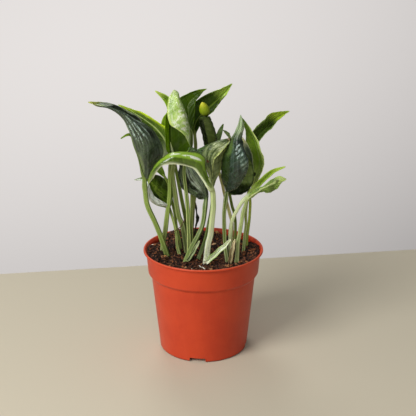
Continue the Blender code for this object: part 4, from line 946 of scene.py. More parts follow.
def pot_surface():
    """Moulded terracotta-coloured plastic: flow streaks, fine grain, scuffs, a darker inside, painted shade
    at the foot and a painted highlight on the lip's edge.
    """
    shade = Shade("pot_plastic", Subsurface_Weight=0.04, Subsurface_Radius=(0.004, 0.0012, 0.0006),
                  Subsurface_Scale=0.5)
    mix, band, place = shade.mix, shade.band, shade.place
    x, y, z = shade.split(place)
    cloudy = shade.noise(place, 28.0, 4.0, 0.6)
    colour = mix(band(cloudy, 0.35, 0.7), (197, 67, 34), (187, 59, 30))
    flow = shade.noise(shade.vector(x * 9.0, y * 9.0, z * 1.4), 22.0, 3.0, 0.6)
    colour = mix(band(flow, 0.5, 0.72, 0.3), colour, (203, 73, 40))
    grain = shade.noise(place, 2600.0, 2.0, 0.6)
    colour = mix(band(grain, 0.5, 0.8, 0.25), colour, (168, 52, 28))
    scuff = band(shade.noise(shade.vector(x * 30.0, y * 30.0, z * 240.0), 3.0, 5.0, 0.7), 0.66, 0.74)
    colour = mix(scuff * 0.3, colour, (216, 116, 84))
    # Painted shade at the foot, a painted highlight on the lip's edge, darker on the inner wall, soiled just
    # above the mix.
    colour = mix(band(z, 0.0022, 0.0004, 0.7), colour, (70, 30, 20))
    colour = mix(band(z, 0.1046, 0.1054, 0.35), colour, (226, 112, 84))
    radius = shade.math("SQRT", x * x + y * y)
    inner = band(radius - z * 0.0681, 0.0498, 0.0495)
    splash = band(shade.noise(place, 240.0, 4.0, 0.6), 0.5, 0.66)
    soil_mark = inner * band(z, 0.1045, 0.099) * splash * band(z, 0.0925, 0.0945)
    colour = mix(inner * band(z, 0.0985, 0.1035) * 0.25, colour, (170, 44, 34))
    colour = mix(soil_mark * 0.75, colour, (58, 36, 26))
    shade.bump(grain * 0.4 + scuff * 0.8, 0.22, 0.0002)
    return shade.finish(colour, shade.spread(cloudy, 0.36, 0.5) + scuff * 0.12)


def soil_surface():
    """Damp peat and coir: near-black hollows of painted shade, red-brown crumbs and a little grey dust."""
    shade = Shade("potting_mix")
    mix, band, place = shade.mix, shade.band, shade.place
    cells = shade.add("ShaderNodeTexVoronoi", place, feature="F1")
    cells.inputs["Scale"].default_value = 420.0
    hollow = Term(shade, cells.outputs["Distance"])
    tone = shade.noise(place, 190.0, 4.0, 0.65)
    colour = mix(band(tone, 0.38, 0.66), (20, 11, 8), (88, 52, 36))
    colour = mix(band(shade.noise(place, 700.0, 3.0, 0.6), 0.52, 0.72, 0.8), colour, (134, 88, 60))
    # The hollows between the lumps are painted shade, near-black.
    colour = mix(band(hollow, 0.4, 0.72, 0.95), colour, (7, 4, 3))
    shade.bump(shade.noise(place, 900.0, 4.0, 0.7) - hollow, 0.8, 0.0008)
    return shade.finish(colour, shade.spread(tone, 0.8, 0.98))


def bits_surface(name, stops, rough):
    """Crumbs and chips: each one's tone comes from its UV, along a list of colours."""
    shade = Shade(name)
    u, v = shade.uv()
    ramp = shade.add("ShaderNodeValToRGB", u)
    while len(ramp.color_ramp.elements) < len(stops):
        ramp.color_ramp.elements.new(0.5)
    for element, (position, colour) in zip(ramp.color_ramp.elements, stops):
        element.position = position
        element.color = linear(colour)
    grain = shade.noise(shade.place, 1500.0, 3.0, 0.65)
    colour = shade.mix(shade.band(grain, 0.42, 0.72, 0.6), Term(shade, ramp.outputs[0]), (24, 14, 10))
    shade.bump(grain, 0.6, 0.0004)
    return shade.finish(colour, shade.spread(v, rough - 0.1, rough + 0.05))


def bud_surface():
    """The rolled new leaf: dark at its foot, yellow-green above, finely lined."""
    shade = Shade("bud_skin", 0.4, Subsurface_Weight=0.1, Subsurface_Radius=(0.003, 0.004, 0.001),
                  Subsurface_Scale=0.6)
    u, v = shade.uv()
    colour = shade.mix(shade.band(v, 0.1, 0.55), (26, 38, 6), (126, 147, 10))
    colour = shade.mix(shade.band(v, 0.5, 0.95), colour, (206, 204, 54))
    streak = shade.band(shade.noise(shade.vector(u * 34.0, v * 2.0, 3.0), 1.0, 3.0, 0.6), 0.45, 0.7, 0.35)
    colour = shade.mix(streak, colour, (112, 136, 20))
    shade.bump(streak, 0.4, 0.0003)
    return shade.finish(colour, shade.spread(v, 0.45, 0.34))


def table_surface():
    shade = Shade("table_top", 0.25)
    cloudy = shade.noise(shade.place, 1.6, 3.0, 0.5)
    grain = shade.noise(shade.place, 900.0, 2.0, 0.5)
    colour = shade.mix(cloudy, (199, 191, 171), (204, 196, 176))
    colour = shade.mix(shade.band(grain, 0.4, 0.8, 0.15), colour, (187, 179, 159))
    return shade.finish(colour, shade.spread(cloudy, 0.6, 0.7))


# ---------------------------------------------------------------- blades
def projected(fold, roll):
    """How far sideways a half blade of width 1 reaches, once folded and rolled (radians)."""
    return (math.sin(min(fold + roll, math.pi / 2)) - math.sin(fold)) / roll


def relief(leaf, t, s, arc, spot, seed):
    """How far the tissue at one place of a blade stands off its smooth surface, in mm.

    t runs from foot to tip, s from -1 at one margin to 1 at the other; arc is the way from the midrib.
    """
    share, sign = abs(s), (-1.0 if s < 0 else 1.0)
    phase = t * leaf["veins"] - VEIN_SWEEP * share ** VEIN_CURVE
    lift = -leaf.get("groove", 0.35) * bell(arc, 1.1)
    lift += (leaf.get("quilt", 0.0) * (abs(math.sin(math.pi * phase)) - 0.5) * 4.0 * share
             * (1.0 - 0.7 * share))
    ripple = noise.noise(Vector((t * 7.0, sign * 3.1, seed)))
    lift += leaf["wave"] * share ** 3 * math.sin(TAU * (t * 3.2 + 0.35 * sign + 0.25 * ripple + seed * 0.37))
    lift += leaf["rumple"] * noise.noise(spot * 0.085 + Vector((seed, 0, 0))) * (0.35 + share)
    if "pucker" in leaf:
        swirl = 1.4 * noise.noise(spot * 0.06 + Vector((seed, 4.0, 0)))
        crease = noise.noise(Vector((arc * sign * 0.4 + swirl, t * 5.0, seed + 7.0)))
        lift += leaf["pucker"] * (0.5 - min(1.0, 3.2 * abs(crease))) * min(1.0, 6.0 * share)
    return lift * (ease(t, 0.0, 0.12) * ease(t, 1.0, 0.86))


def station_lines(leaf, rows_wanted, columns, seed):
    """Rows of points across a blade given by its midrib and half widths, and its midrib line."""
    fold, roll = (math.radians(angle) for angle in leaf["shape"])
    drawn = projected(fold, roll)
    rows = smooth_rows(leaf["stations"], rows_wanted)
    middles = [Vector(row[:3]) for row in rows]
    foot_face, tip_face = Vector(leaf["front"]), Vector(leaf.get("tip_front", leaf["front"]))
    last = rows_wanted - 1
    lines, spine = [], []
    for index, (middle, row) in enumerate(zip(middles, rows)):
        t = index / last
        along = (middles[min(index + 1, last)] - middles[max(index - 1, 0)]).normalized()
        face = foot_face.lerp(tip_face, t)
        face = (face - face.dot(along) * along).normalized()
        side = along.cross(face)
        line = []
        for column in range(columns + 1):
            s = 2.0 * column / columns - 1.0
            share, sign = abs(s), (-1.0 if s < 0 else 1.0)
            arc = max(row[3] if s < 0 else row[4], 0.25) * share
            angle = fold + roll * share
            stretch = roll * max(share, 0.001) * drawn
            sideways = arc * (math.sin(angle) - math.sin(fold)) / stretch
            upward = arc * (math.cos(fold) - math.cos(angle)) / stretch
            normal = face * math.cos(angle) - side * (sign * math.sin(angle))
            spot = middle + side * (sign * sideways * share) + face * (upward * share)
            line.append(spot + normal * relief(leaf, t, s, arc, spot, seed))
        lines.append(line)
        spine.append((middle, face))
    return lines, spine


def net_grid(leaf, net, rows_wanted, columns):
    """A net's points spread evenly: half the columns on each side of the midrib."""
    width = max(len(row) for row in net)
    rib = leaf["rib"]
    if leaf.get("flip"):
        net, rib = [row[::-1] for row in net], width - 1 - rib
    full = []
    for index, row in enumerate(net):
        if len(row) == 1:
            near = net[index - 1] if index else net[1]
            spread = (Vector(near[-1]) - Vector(near[0])).normalized() * TIP_HALF_WIDTH
            row = [tuple(Vector(row[0]) + spread * (2.0 * c / (width - 1) - 1.0)) for c in range(width)]
        full.append([number for point in row for number in point])
    half, keel = columns // 2, leaf.get("keel", 0.0)
    grid = []
    for flat in smooth_rows(full, rows_wanted):
        points = [flat[3 * c:3 * c + 3] for c in range(width)]
        line = []
        for column in range(columns + 1):
            near_side = column <= half
            place = column / half * rib if near_side else rib + (column - half) / half * (width - 1 - rib)
            spot = Vector(through(points, place))
            if keel:
                # The two sides of the midrib smoothed apart, so that the blade folds sharply there.
                side, start = (points[:rib + 1], 0) if near_side else (points[rib:], rib)
                spot = spot.lerp(Vector(through(side, place - start)), keel)
            line.append(spot)
        grid.append(line)
    return grid


def net_lines(leaf, net, rows_wanted, columns, seed):
    """Rows of points across a blade given as a net, and its midrib line."""
    grid = net_grid(leaf, net, rows_wanted, columns)
    half, last = columns // 2, rows_wanted - 1
    reach = max(2, columns // 6)
    lines, spine = [], []
    for r, line in enumerate(grid):
        below, above = grid[max(r - 1, 0)], grid[min(r + 1, last)]
        normals = []
        for c in range(columns + 1):
            across = line[min(c + 1, columns)] - line[max(c - 1, 0)]
            normals.append(across.cross(above[c] - below[c]).normalized())
        arcs = [0.0] * (columns + 1)
        for step, end in ((1, columns + 1), (-1, -1)):
            for c in range(half + step, end, step):
                arcs[c] = arcs[c - step] + (line[c] - line[c - step]).length
        lines.append([spot + normals[c] * relief(leaf, r / last, 2.0 * c / columns - 1.0, arcs[c], spot, seed)
                      for c, spot in enumerate(line)])
        face = (normals[half - reach] + normals[half + reach] + normals[half]).normalized()
        spine.append((line[half], face))
    return lines, spine


def add_blade(name, lines, surfaces, slot, thickness):
    blade = piece(name + "_detail", grid_mesh(name, lines), slot, *surfaces, replaces=(name,))
    thicken = blade.modifiers.new("thickness", "SOLIDIFY")
    thicken.thickness = thickness * MM
    thicken.offset = 0.0
    thicken.use_rim = True
    thicken.use_even_offset = False
    thicken.material_offset = len(surfaces) - 1


# ---------------------------------------------------------------- stalks
def tube_lines(points, radii, front, sides, groove=None, wing=0.0, flat=0.0):
    """Rings round a route; the groove, if any, and its two ridges run along the front."""
    lines = []
    last = len(points) - 1
    for index, (point, radius) in enumerate(zip(points, radii)):
        along = (points[min(index + 1, last)] - points[max(index - 1, 0)]).normalized()
        facing = (front - front.dot(along) * along).normalized()
        side = along.cross(facing)
        depth = groove(index / last) if groove else 0.0
        ring = []
        for step in range(sides):
            theta = TAU * step / sides - math.pi
            reach = 1.0 - depth * bell(theta, 0.42)
            reach += wing * depth * bell(abs(theta) - 0.72, 0.24)
            ring.append(point + facing * (math.cos(theta) * radius * reach * (1.0 - flat))
                        + side * (math.sin(theta) * radius * reach * (1.0 + flat)))
        lines.append(ring)
    return lines


def stem(name, blade_foot, seed):
    """A stalk's points from inside the mix to its blade, its radii, and its length."""
    foot_radius, top_radius, route = STALKS[name]
    foot = Vector(route[0])
    smooth = smooth_route([tuple(p) for p in route] + [tuple(blade_foot)],
                          max(30, round(route_length(route) / 1.7)))
    below = [foot + Vector((0, 0, -STALK_BURIAL + 2.0 * step)) for step in range(int(STALK_BURIAL / 2.0))]
    points = below + smooth[:-1]
    total = route_length(points)
    radii, done = [], 0.0
    for index, point in enumerate(points):
        if index:
            done += (point - points[index - 1]).length
        radius = foot_radius + (top_radius - foot_radius) * (done / total)
        radius *= 1.0 + 0.16 * bell(total - done - 7.0, 4.0)
        radius *= 1.0 + 0.14 * bell(max(0.0, done - STALK_BURIAL), 7.0)
        radius *= 1.0 + 0.05 * noise.noise(Vector((done * 0.09, seed, 0.0)))
        radii.append(radius)
        sway = [noise.noise(Vector((done * 0.035, seed, start))) for start in (5.0, 9.0)]
        give = 0.9 * ease(done, 8.0, 30.0) * ease(total - done, 0.0, 20.0)
        points[index] = point + Vector((*sway, 0.0)) * give
    return points, radii, total


def add_stalk(name, leaf, look, spine, seed):
    """The stalk, and the midrib that carries on from it up the back of the blade."""
    points, radii, length = stem(name, spine[0][0], seed)
    stem_rings = len(points)
    top_radius = STALKS[name][1]
    reach = int(leaf.get("reach", 0.72) * len(spine))
    ridge = leaf.get("ridge", 1.0)
    for index in range(0, reach, 2):
        middle, face = spine[index]
        t = index / reach
        if ridge:
            radius = (top_radius * (1.0 - t) ** 1.25 * 0.92 + 0.22) * (ridge + (1.0 - ridge) * (1.0 - t) ** 6)
            sink = radius * ease(t, 0.0, 0.16) * 0.85 + 0.1
        else:
            radius = 0.45 + 0.3 * (1.0 - t) + (top_radius - 0.75) * (1.0 - t) ** 12
            sink = -0.15
        points.append(middle - face * sink)
        radii.append(radius)
    stem_share = stem_rings / len(points)

    def groove(share):
        return 0.2 * (1.0 - 0.45 * share / stem_share) if share < stem_share else 0.06

    lines = tube_lines(points, radii, Vector(leaf["front"]), STALK_SIDES, groove, 0.7, 0.04)
    mesh = grid_mesh("stalk_" + name, lines, closed=True, caps=True)
    rib = look.get("under", look).get("rib", look["rib"])[0]
    surface = stalk_surface(f"stalk_{name}_skin", STALK_LOOKS[name], seed, length, stem_share, rib)
    piece(f"stalk_{name}_detail", mesh, "stalk", surface, replaces=("stalk_" + name,))


def add_plant():
    for seed, (name, leaf) in enumerate(LEAVES.items()):
        full_name, look, veins = "leaf_" + name, LOOKS[name], leaf["veins"]
        under = look.get("under")
        face = leaf_surface(full_name + "_face", look, seed, veins)
        back = leaf_surface(full_name + "_back", dict(look, **(under or {})), seed + UNDER_SEED, veins,
                            not under)
        if name in NETS:
            lines, spine = net_lines(leaf, NETS[name], LEAF_ROWS, LEAF_COLUMNS, seed)
        else:
            lines, spine = station_lines(leaf, LEAF_ROWS, LEAF_COLUMNS, seed)
        add_blade(full_name, lines, (face, back), look["slot"], LEAF_THICKNESS)
        add_stalk(name, leaf, look, spine, seed + 0.5)
    for seed, (name, sheath) in enumerate(SHEATHS.items(), SHEATH_SEED):
        skin = leaf_surface(name + "_skin", SHEATH_LOOKS[name], seed, SHEATH_VEINS)
        lines, _ = station_lines(dict(sheath, **SHEATH_RELIEF), SHEATH_ROWS, SHEATH_COLUMNS, seed)
        add_blade(name, lines, (skin,), "sheath", SHEATH_THICKNESS)


# ---------------------------------------------------------------- pot
def rounded(points, steps=4):
    """Rounds each corner (r, z, fillet) of an outline with a small arc."""
    result = []
    for index, (r, z, fillet) in enumerate(points):
        corner = Vector((r, z))
        if fillet <= 0.0 or index in (0, len(points) - 1):
            result.append((r, z))
            continue
        before = Vector(points[index - 1][:2]) - corner
        after = Vector(points[index + 1][:2]) - corner
        size = min(fillet, 0.45 * before.length, 0.45 * after.length)
        start, end = corner + before.normalized() * size, corner + after.normalized() * size
        for step in range(steps + 1):
            t = step / steps
            spot = start * (1 - t) ** 2 + corner * (2 * t * (1 - t)) + end * t ** 2
            result.append((spot.x, spot.y))
    return result


def pot_outline():
    """Closed wall section from the axis on the floor, up the inside, over the lip and down."""
    lip_foot = POT_HEIGHT - LIP_DEPTH
    return rounded([
        (0.0, 1.2, 0), (BOSS_RADIUS - 1.2, 1.2, 0.4), (BOSS_RADIUS - 0.6, FLOOR_TOP_Z, 0.6),
        (BASE_RADIUS - WALL - 1.0, FLOOR_TOP_Z, 0.8), (BASE_RADIUS - WALL, FLOOR_TOP_Z + 1.4, 0.8),
        (BODY_TOP_RADIUS - WALL, BODY_TOP_Z + 0.6, 1.2),
        (COLLAR_FOOT_RADIUS - WALL, COLLAR_FOOT_Z + 1.0, 1.2),
        (COLLAR_TOP_RADIUS - WALL, lip_foot - 0.6, 0.8), (LIP_INNER_RADIUS - 0.5, POT_HEIGHT - 0.6, 0.4),
        (LIP_INNER_RADIUS, POT_HEIGHT, 0.4), (RIM_RADIUS - 0.2, POT_HEIGHT, 0.9),
        (RIM_RADIUS, POT_HEIGHT - 0.9, 0.5), (RIM_RADIUS, lip_foot + 0.3, 0.4),
        (RIM_RADIUS - 0.5, lip_foot, 0.3),
        (COLLAR_TOP_RADIUS, lip_foot - 0.3, 0.7), (COLLAR_FOOT_RADIUS, COLLAR_FOOT_Z + 0.3, 0.5),
        (COLLAR_FOOT_RADIUS - 0.5, COLLAR_FOOT_Z - 0.5, 0.5), (BODY_TOP_RADIUS, BODY_TOP_Z, 0.9),
        (BASE_RADIUS, 0.9, 1.6), (BASE_RADIUS - 0.9, 0.0, 0.5), (BASE_RADIUS - WALL - 0.9, 0.0, 0.3),
        (BASE_RADIUS - WALL - 1.0, FLOOR_BOTTOM_Z, 0.5), (BOSS_RADIUS + 0.6, FLOOR_BOTTOM_Z, 0.5),
        (BOSS_RADIUS, 0.0, 0.4), (0.0, 0.0, 0),
    ])


def around(radius, z, angle):
    """A move to a place round the pot's axis, given in mm."""
    return Matrix.Translation((radius * MM * math.cos(angle), radius * MM * math.sin(angle), z * MM))


def notch_cutter(number):
    angle = math.radians(NOTCH_ANGLE + 360.0 / NOTCH_COUNT * number)
    size = (NOTCH_DEPTH * MM, NOTCH_WIDTH * MM, 2.0 * NOTCH_HEIGHT * MM, 1.0)
    cutter = bmesh.new()
    bmesh.ops.create_cube(cutter, size=1.0, matrix=around(BASE_RADIUS, 0.0, angle)
                          @ Matrix.Rotation(angle, 4, "Z") @ Matrix.Diagonal(size))
    corners = [e for e in cutter.edges if abs(sum(v.co.z for v in e.verts) / 2 - NOTCH_HEIGHT * MM) < 1e-6
               and abs((e.verts[0].co - e.verts[1].co).length - NOTCH_DEPTH * MM) < 1e-6]
    bmesh.ops.bevel(cutter, geom=corners, offset=0.9 * MM, segments=4, affect="EDGES", profile=0.5)
    return cutter


def drain_cutter(number):
    place = around(DRAIN_CIRCLE, 0.5 * (FLOOR_BOTTOM_Z + FLOOR_TOP_Z), TAU * (number + 0.5) / DRAIN_COUNT)
    cutter = bmesh.new()
    bmesh.ops.create_cone(cutter, cap_ends=True, segments=32, radius1=DRAIN_RADIUS * MM,
                          radius2=DRAIN_RADIUS * MM, depth=DRAIN_DEPTH * MM, matrix=place)
    return cutter


def turned(outline):
    """A closed body of revolution from an outline that starts and ends on the axis."""
    build = bmesh.new()
    rings = [[build.verts.new(point) for point in circle(radius * MM, z * MM, POT_SECTORS)]
             for radius, z in outline[1:-1]]
    top = build.verts.new((0.0, 0.0, outline[0][1] * MM))
    bottom = build.verts.new((0.0, 0.0, outline[-1][1] * MM))
    for n in range(POT_SECTORS):
        m = (n + 1) % POT_SECTORS
        build.faces.new((top, rings[0][n], rings[0][m]))
        for a, b in zip(rings, rings[1:]):
            build.faces.new((a[n], b[n], b[m], a[m]))
        build.faces.new((bottom, rings[-1][m], rings[-1][n]))
    return mesh_from("pot", build)


def mesh_from(name, build, outward=True):
    """The finished mesh of a bmesh."""
    if outward:
        bmesh.ops.recalc_face_normals(build, faces=build.faces)
    mesh = bpy.data.meshes.new(name)
    build.to_mesh(mesh)
    build.free()
    return mesh


def add_pot():
    blank = link("pot_blank", turned(pot_outline()))
    cutters = [notch_cutter(n) for n in range(NOTCH_COUNT)] + [drain_cutter(n) for n in range(DRAIN_COUNT)]
    group = bpy.data.collections.new("pot_cutters")
    bpy.context.scene.collection.children.link(group)
    for number, cutter in enumerate(cutters):
        solid = mesh_from(f"cutter_{number}", cutter, outward=False)
        group.objects.link(bpy.data.objects.new(f"cutter_{number}", solid))
    trim = blank.modifiers.new("holes", "BOOLEAN")
    trim.operation = "DIFFERENCE"
    trim.solver = "EXACT"
    trim.operand_type = "COLLECTION"
    trim.collection = group
    bpy.context.view_layer.update()
    graph = bpy.context.evaluated_depsgraph_get()
    finished = bpy.data.meshes.new_from_object(blank.evaluated_get(graph))
    finished.name = "pot_detail"
    for thing in list(group.objects) + [blank]:
        bpy.data.objects.remove(thing, do_unlink=True)
    bpy.data.collections.remove(group)
    finished.materials.clear()
    finished.shade_smooth()
    finished.set_sharp_from_angle(angle=math.radians(SHARP_ANGLE))
    piece("pot_detail", finished, "pot_plastic", pot_surface(), replaces=("pot",))


# ---------------------------------------------------------------- potting mix
def inner_radius(z):
    """Inside radius of the pot at a height, mm."""
    if z >= COLLAR_FOOT_Z:
        share = (z - COLLAR_FOOT_Z) / (POT_HEIGHT - COLLAR_FOOT_Z)
        return COLLAR_FOOT_RADIUS + share * (COLLAR_TOP_RADIUS - COLLAR_FOOT_RADIUS) - WALL
    return BASE_RADIUS + z / BODY_TOP_Z * (BODY_TOP_RADIUS - BASE_RADIUS) - WALL


def soil_height(x, y):
    """The mix's surface with its heaps, lumps and crumb texture, mm."""
    height = SOIL_LEVEL + 0.9 * noise.noise(Vector((x, y, 3.0)) * 0.11)
    for centre_x, centre_y, rise, spread in HEAPS:
        height += rise * math.exp(-((x - centre_x) ** 2 + (y - centre_y) ** 2) / (2.0 * spread * spread))
    lump = noise.voronoi(Vector((x, y, 1.0)) * 0.24)[0]
    height += 1.5 * (0.5 - lump[0]) + 0.9 * noise.noise(Vector((x, y, 7.0)) * 0.35)
    return height + 0.55 * noise.fractal(Vector((x, y, 2.0)) * 0.9, 0.6, 2.0, 3)


def on_soil(x, y, lift):
    """A place just over the mix, mm."""
    return Vector((x, y, soil_height(x, y) + lift))


def add_soil():
    lines = []
    edge = inner_radius(SOIL_LEVEL) - 0.6
    for ring in range(1, SOIL_RINGS + 1):
        radius = edge * ring / SOIL_RINGS
        line = []
        for sector in range(SOIL_SECTORS):
            angle = TAU * sector / SOIL_SECTORS
            x, y = radius * math.cos(angle), radius * math.sin(angle)
            height = soil_height(x, y)
            if ring == SOIL_RINGS:
                # The outermost ring follows the wall, which leans out where the mix is heaped high.
                spare = 1.3 * ease(height, 102.0, 104.5) + 0.5
                x, y = x + spare * math.cos(angle), y + spare * math.sin(angle)
            line.append(Vector((x, y, height)))
        lines.append(line)
    lines += [circle(inner_radius(z) - inset, z, SOIL_SECTORS) for z, inset in SOIL_WALL]
    mesh = grid_mesh("soil_detail", lines[::-1], closed=True, caps=True)
    piece("soil_detail", mesh, "potting_mix", soil_surface(), replaces=("soil",))


class Bits:
    """Many small closed bodies in one mesh; each one's tone goes in its UV."""

    def __init__(self, seed=0):
        self.random = random.Random(seed)
        self.build = bmesh.new()
        self.layer = self.build.loops.layers.uv.new("UVMap")

    def place(self, margin):
        """A random place on the mix."""
        limit = inner_radius(SOIL_LEVEL) - margin
        while True:
            x, y = self.random.uniform(-limit, limit), self.random.uniform(-limit, limit)
            if x * x + y * y < limit * limit:
                return x, y

    def turn(self, tilt):
        uniform = self.random.uniform
        return Euler((uniform(-tilt, tilt), uniform(-tilt, tilt), uniform(0, TAU)))

    def lump(self, centre, size, turn, tone, detail=1, jag=0.28):
        made = bmesh.ops.create_icosphere(self.build, subdivisions=detail, radius=1.0)["verts"]
        shift = Vector([self.random.uniform(0, 50) for _ in range(3)])
        matrix = turn.to_matrix()
        for vert in made:
            bulge = (1.0 + jag * noise.noise(vert.co * 1.6 + shift)
                     + 0.5 * jag * noise.noise(vert.co * 4.0 + shift))
            local = Vector((vert.co.x * size[0], vert.co.y * size[1], vert.co.z * size[2])) * bulge
            vert.co = (matrix @ local + centre) * MM
        # A dict keeps the faces in order, so that the draws below fall the same way each run.
        for face in dict.fromkeys(f for vert in made for f in vert.link_faces):
            face.smooth = detail > 1
            for loop in face.loops:
                loop[self.layer].uv = (tone, self.random.random())

    def thread(self, route, radius, tone, sides):
        """A thin closed tube along a route."""
        lines = tube_lines(route, [radius] * len(route), Vector((0.13, 0.21, 0.97)), sides)
        rings = [[self.build.verts.new(p * MM) for p in ring] for ring in lines]
        faces = [self.build.faces.new((a[n], a[(n + 1) % sides], b[(n + 1) % sides], b[n]))
                 for a, b in zip(rings, rings[1:]) for n in range(sides)]
        faces += [self.build.faces.new(rings[0][::-1]), self.build.faces.new(rings[-1])]
        for face in faces:
            face.smooth = True
            for loop in face.loops:
                loop[self.layer].uv = (tone, 0.5)

    def finish(self, name, surface, slot="potting_mix"):
        piece(name, mesh_from(name, self.build), slot, surface)


def add_crumbs():
    bits = Bits(7)
    uniform = bits.random.uniform
    for _ in range(CRUMBS):
        x, y = bits.place(1.2)
        size = 0.45 + 1.15 * bits.random.random() ** 2.2
        shape = (size * uniform(0.8, 1.5), size * uniform(0.7, 1.1), size * uniform(0.5, 0.9))
        bits.lump(on_soil(x, y, 0.25 * size), shape, bits.turn(3.2), bits.random.random())
    bits.finish("soil_crumbs", bits_surface("crumbs", (
        (0.0, (12, 7, 5)), (0.4, (44, 26, 18)), (0.66, (94, 56, 38)), (0.86, (140, 90, 60)),
        (1.0, (176, 128, 88))), 0.9))


def add_chips():
    bits = Bits(19)
    uniform = bits.random.uniform
    for _ in range(CHIPS):
        x, y = bits.place(2.5)
        size = uniform(0.9, 2.1)
        shape = (size * uniform(1.0, 1.8), size * uniform(0.5, 0.9), size * uniform(0.25, 0.5))
        bits.lump(on_soil(x, y, 0.45), shape, bits.turn(0.5), 0.55 * bits.random.random(), 2, 0.35)
    for x, y, size, tone in CHIP_PLACES:
        shape = (size * 1.35, size * 0.75, size * 0.5)
        bits.lump(on_soil(x, y, 0.7), shape, bits.turn(0.4), tone, 2, 0.35)
    bits.finish("bark_chips", bits_surface("bark", (
        (0.0, (64, 32, 20)), (0.4, (132, 76, 44)), (0.6, (160, 100, 58)), (0.8, (206, 150, 88)),
        (1.0, (226, 222, 206))), 0.8))


def add_fibres():
    """Coir fibres and fine roots lying on the mix, and the white root that shows in front."""
    bits = Bits(31)
    uniform = bits.random.uniform
    limit = inner_radius(SOIL_LEVEL) - 1.0
    for _ in range(FIBRES):
        x, y = bits.place(4.0)
        heading, length = uniform(0, TAU), uniform(2.5, 8.0)
        bend = uniform(-0.5, 0.5)
        route = []
        for step in range(6):
            t = step / 5
            px = x + math.cos(heading + bend * t) * length * (t - 0.5)
            py = y + math.sin(heading + bend * t) * length * (t - 0.5)
            inward = min(1.0, limit / math.hypot(px, py))
            route.append(on_soil(px * inward, py * inward, 0.35 + 0.5 * math.sin(math.pi * t)))
        bits.thread(route, uniform(0.1, 0.24), uniform(0.0, 0.8), 5)
    bits.thread([on_soil(x, y, 1.3) for x, y in WHITE_ROOT], 0.5, 1.0, 8)
    bits.finish("coir_fibres", bits_surface("fibre", (
        (0.0, (60, 36, 24)), (0.5, (120, 76, 48)), (0.8, (164, 116, 76)), (0.92, (196, 180, 150)),
        (1.0, (232, 226, 214))), 0.75))


# ---------------------------------------------------------------- bud and dead bits
def add_bud():
    """The rolled tip of a new leaf: a spindle with a lap wound round it."""
    tilt = Euler((math.radians(BUD_TILT[0]), math.radians(BUD_TILT[1]), 0.0)).to_matrix()
    lines = []
    for row in range(BUD_ROWS + 1):
        t = row / BUD_ROWS
        z = math.cos(math.pi * (1.0 - t)) * BUD_HALF_LENGTH
        height = 0.5 + 0.5 * z / BUD_HALF_LENGTH
        girth = 2.32 * height ** 0.5 * (1.0 - height) ** 0.75 + 0.012
        ring = []
        for step in range(BUD_SIDES):
            theta = TAU * step / BUD_SIDES
            seam = (theta / TAU + 0.62 * t + 0.30) % 1.0
            lap = 0.075 * (1.0 - seam) - 0.03 * bell(seam, 0.02)
            rib = 0.012 * math.cos(14.0 * theta + 4.0 * t)
            reach = BUD_HALF_WIDTH * girth * (1.0 + (lap + rib) * math.sin(math.pi * t) - 0.03)
            spot = Vector((math.sin(theta) * reach, -math.cos(theta) * 0.75 * reach, z))
            ring.append(tilt @ spot + Vector(BUD_CENTRE))
        lines.append(ring)
    mesh = grid_mesh("leaf_tip_bud_detail", lines, closed=True, caps=True)
    piece("leaf_tip_bud_detail", mesh, "leaf_lime", bud_surface(), replaces=("leaf_tip_bud",))


def add_stub():
    """The dead leaf stub behind the middle stalks, with its dry scrap and twig, and a root over the mix."""
    surface = bits_surface("dead_skin", ((0.0, (22, 26, 16)), (0.4, (44, 50, 30)), (0.7, (74, 56, 36)),
                                         (1.0, (96, 60, 48))), 0.85)
    route = smooth_route(STUB_ROUTE, 26)
    radii = [0.95 * (1.0 + 0.6 * noise.noise(p * 0.5)) + 0.9 * bell(p.z - SCRAP_Z, 3.5) for p in route]
    lines = tube_lines(route, radii, Vector((0, -1, 0)), 16, lambda share: 0.25, 0.6)
    mesh = grid_mesh("dead_stub_detail", lines, closed=True, caps=True)
    mesh.uv_layers[0].data.foreach_set("uv", [0.3, 0.5] * len(mesh.loops))
    piece("dead_stub_detail", mesh, "dead_tissue", surface, replaces=("dead_stub",))
    bits = Bits()
    bits.thread(smooth_route(TWIG_ROUTE, 22), 0.75, 0.72, 9)
    bits.thread(smooth_route(ROOT_ROUTE, 40), 0.42, 0.95, 8)
    bits.finish("dead_twigs", surface, "dead_tissue")


# ---------------------------------------------------------------- set, light and camera
def add_light(name, place, size, power, colour, glossy):
    lamp = bpy.data.lights.new(name, "AREA")
    lamp.shape = "RECTANGLE"
    lamp.size, lamp.size_y = size
    lamp.energy = power
    lamp.color = colour
    thing = link(name, lamp)
    thing.visible_glossy = glossy
    thing.location = place
    thing.rotation_euler = (Vector(LIGHT_TARGET) - Vector(place)).to_track_quat("-Z", "Y").to_euler()


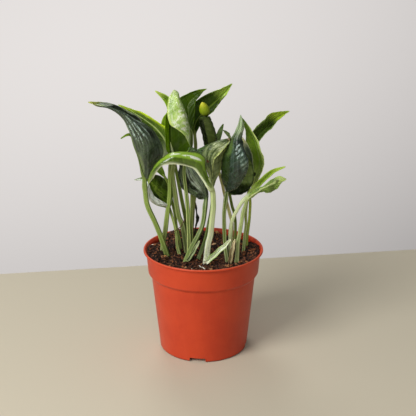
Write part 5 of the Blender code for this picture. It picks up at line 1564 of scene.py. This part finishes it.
def add_table():
    floor_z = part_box("pot")[0].z
    back_left, back_right = (TABLE_EDGE + TABLE_EDGE_SLOPE * x for x in (-TABLE_HALF, TABLE_HALF))
    corners = [(-TABLE_HALF, -TABLE_HALF), (TABLE_HALF, -TABLE_HALF), (TABLE_HALF, back_right),
               (-TABLE_HALF, back_left)]
    mesh = bpy.data.meshes.new("table")
    mesh.from_pydata([(x, y, floor_z) for x, y in corners], [], [(0, 1, 2, 3)])
    mesh.materials.append(table_surface())
    table = link("table", mesh)


def add_world():
    """A wall for the camera to see, and an even room that lights the object."""
    world = bpy.data.worlds.new("studio")
    bpy.context.scene.world = world
    world.use_nodes = True
    world.node_tree.nodes.clear()
    nodes = Nodes(world.node_tree)
    across, _, up = nodes.split(nodes.output("ShaderNodeTexCoord", "Generated"))
    # The wall is brightest up on the left and falls off to the right and downwards.
    x = nodes.clamp(across, -0.25, 0.25)
    z = nodes.clamp(up, -0.4, 0.1)
    level = x * (x * -1.026 - 0.22) + 0.747 + z * (z * -2.641 - 0.496) + x * z * 0.745
    wall = nodes.term("ShaderNodeBackground", WALL_COLOUR, nodes.clamp(level, 0.38, 0.84))
    in_gloss = nodes.output("ShaderNodeLightPath", "Is Glossy Ray")
    strength = in_gloss * (-ROOM_DIMMING * ROOM_LIGHT) + ROOM_LIGHT
    room = nodes.term("ShaderNodeBackground", ROOM_COLOUR, strength)
    seen = nodes.output("ShaderNodeLightPath", "Is Camera Ray")
    nodes.add("ShaderNodeOutputWorld", nodes.term("ShaderNodeMixShader", seen, room, wall))


def add_camera():
    camera = bpy.data.cameras.new("camera")
    camera.lens = CAMERA_LENS
    camera.sensor_width = CAMERA_SENSOR
    eye = link("camera", camera)
    eye.location = CAMERA_PLACE
    eye.rotation_euler = (math.radians(CAMERA_PITCH), 0.0, 0.0)
    bpy.context.scene.camera = eye
    bpy.context.scene.view_settings.view_transform = "Standard"


add_pot()
add_soil()
add_crumbs()
add_chips()
add_fibres()
add_plant()
add_bud()
add_stub()
add_table()
add_world()
for light_name, light in LIGHTS.items():
    add_light(light_name, *light)
add_camera()
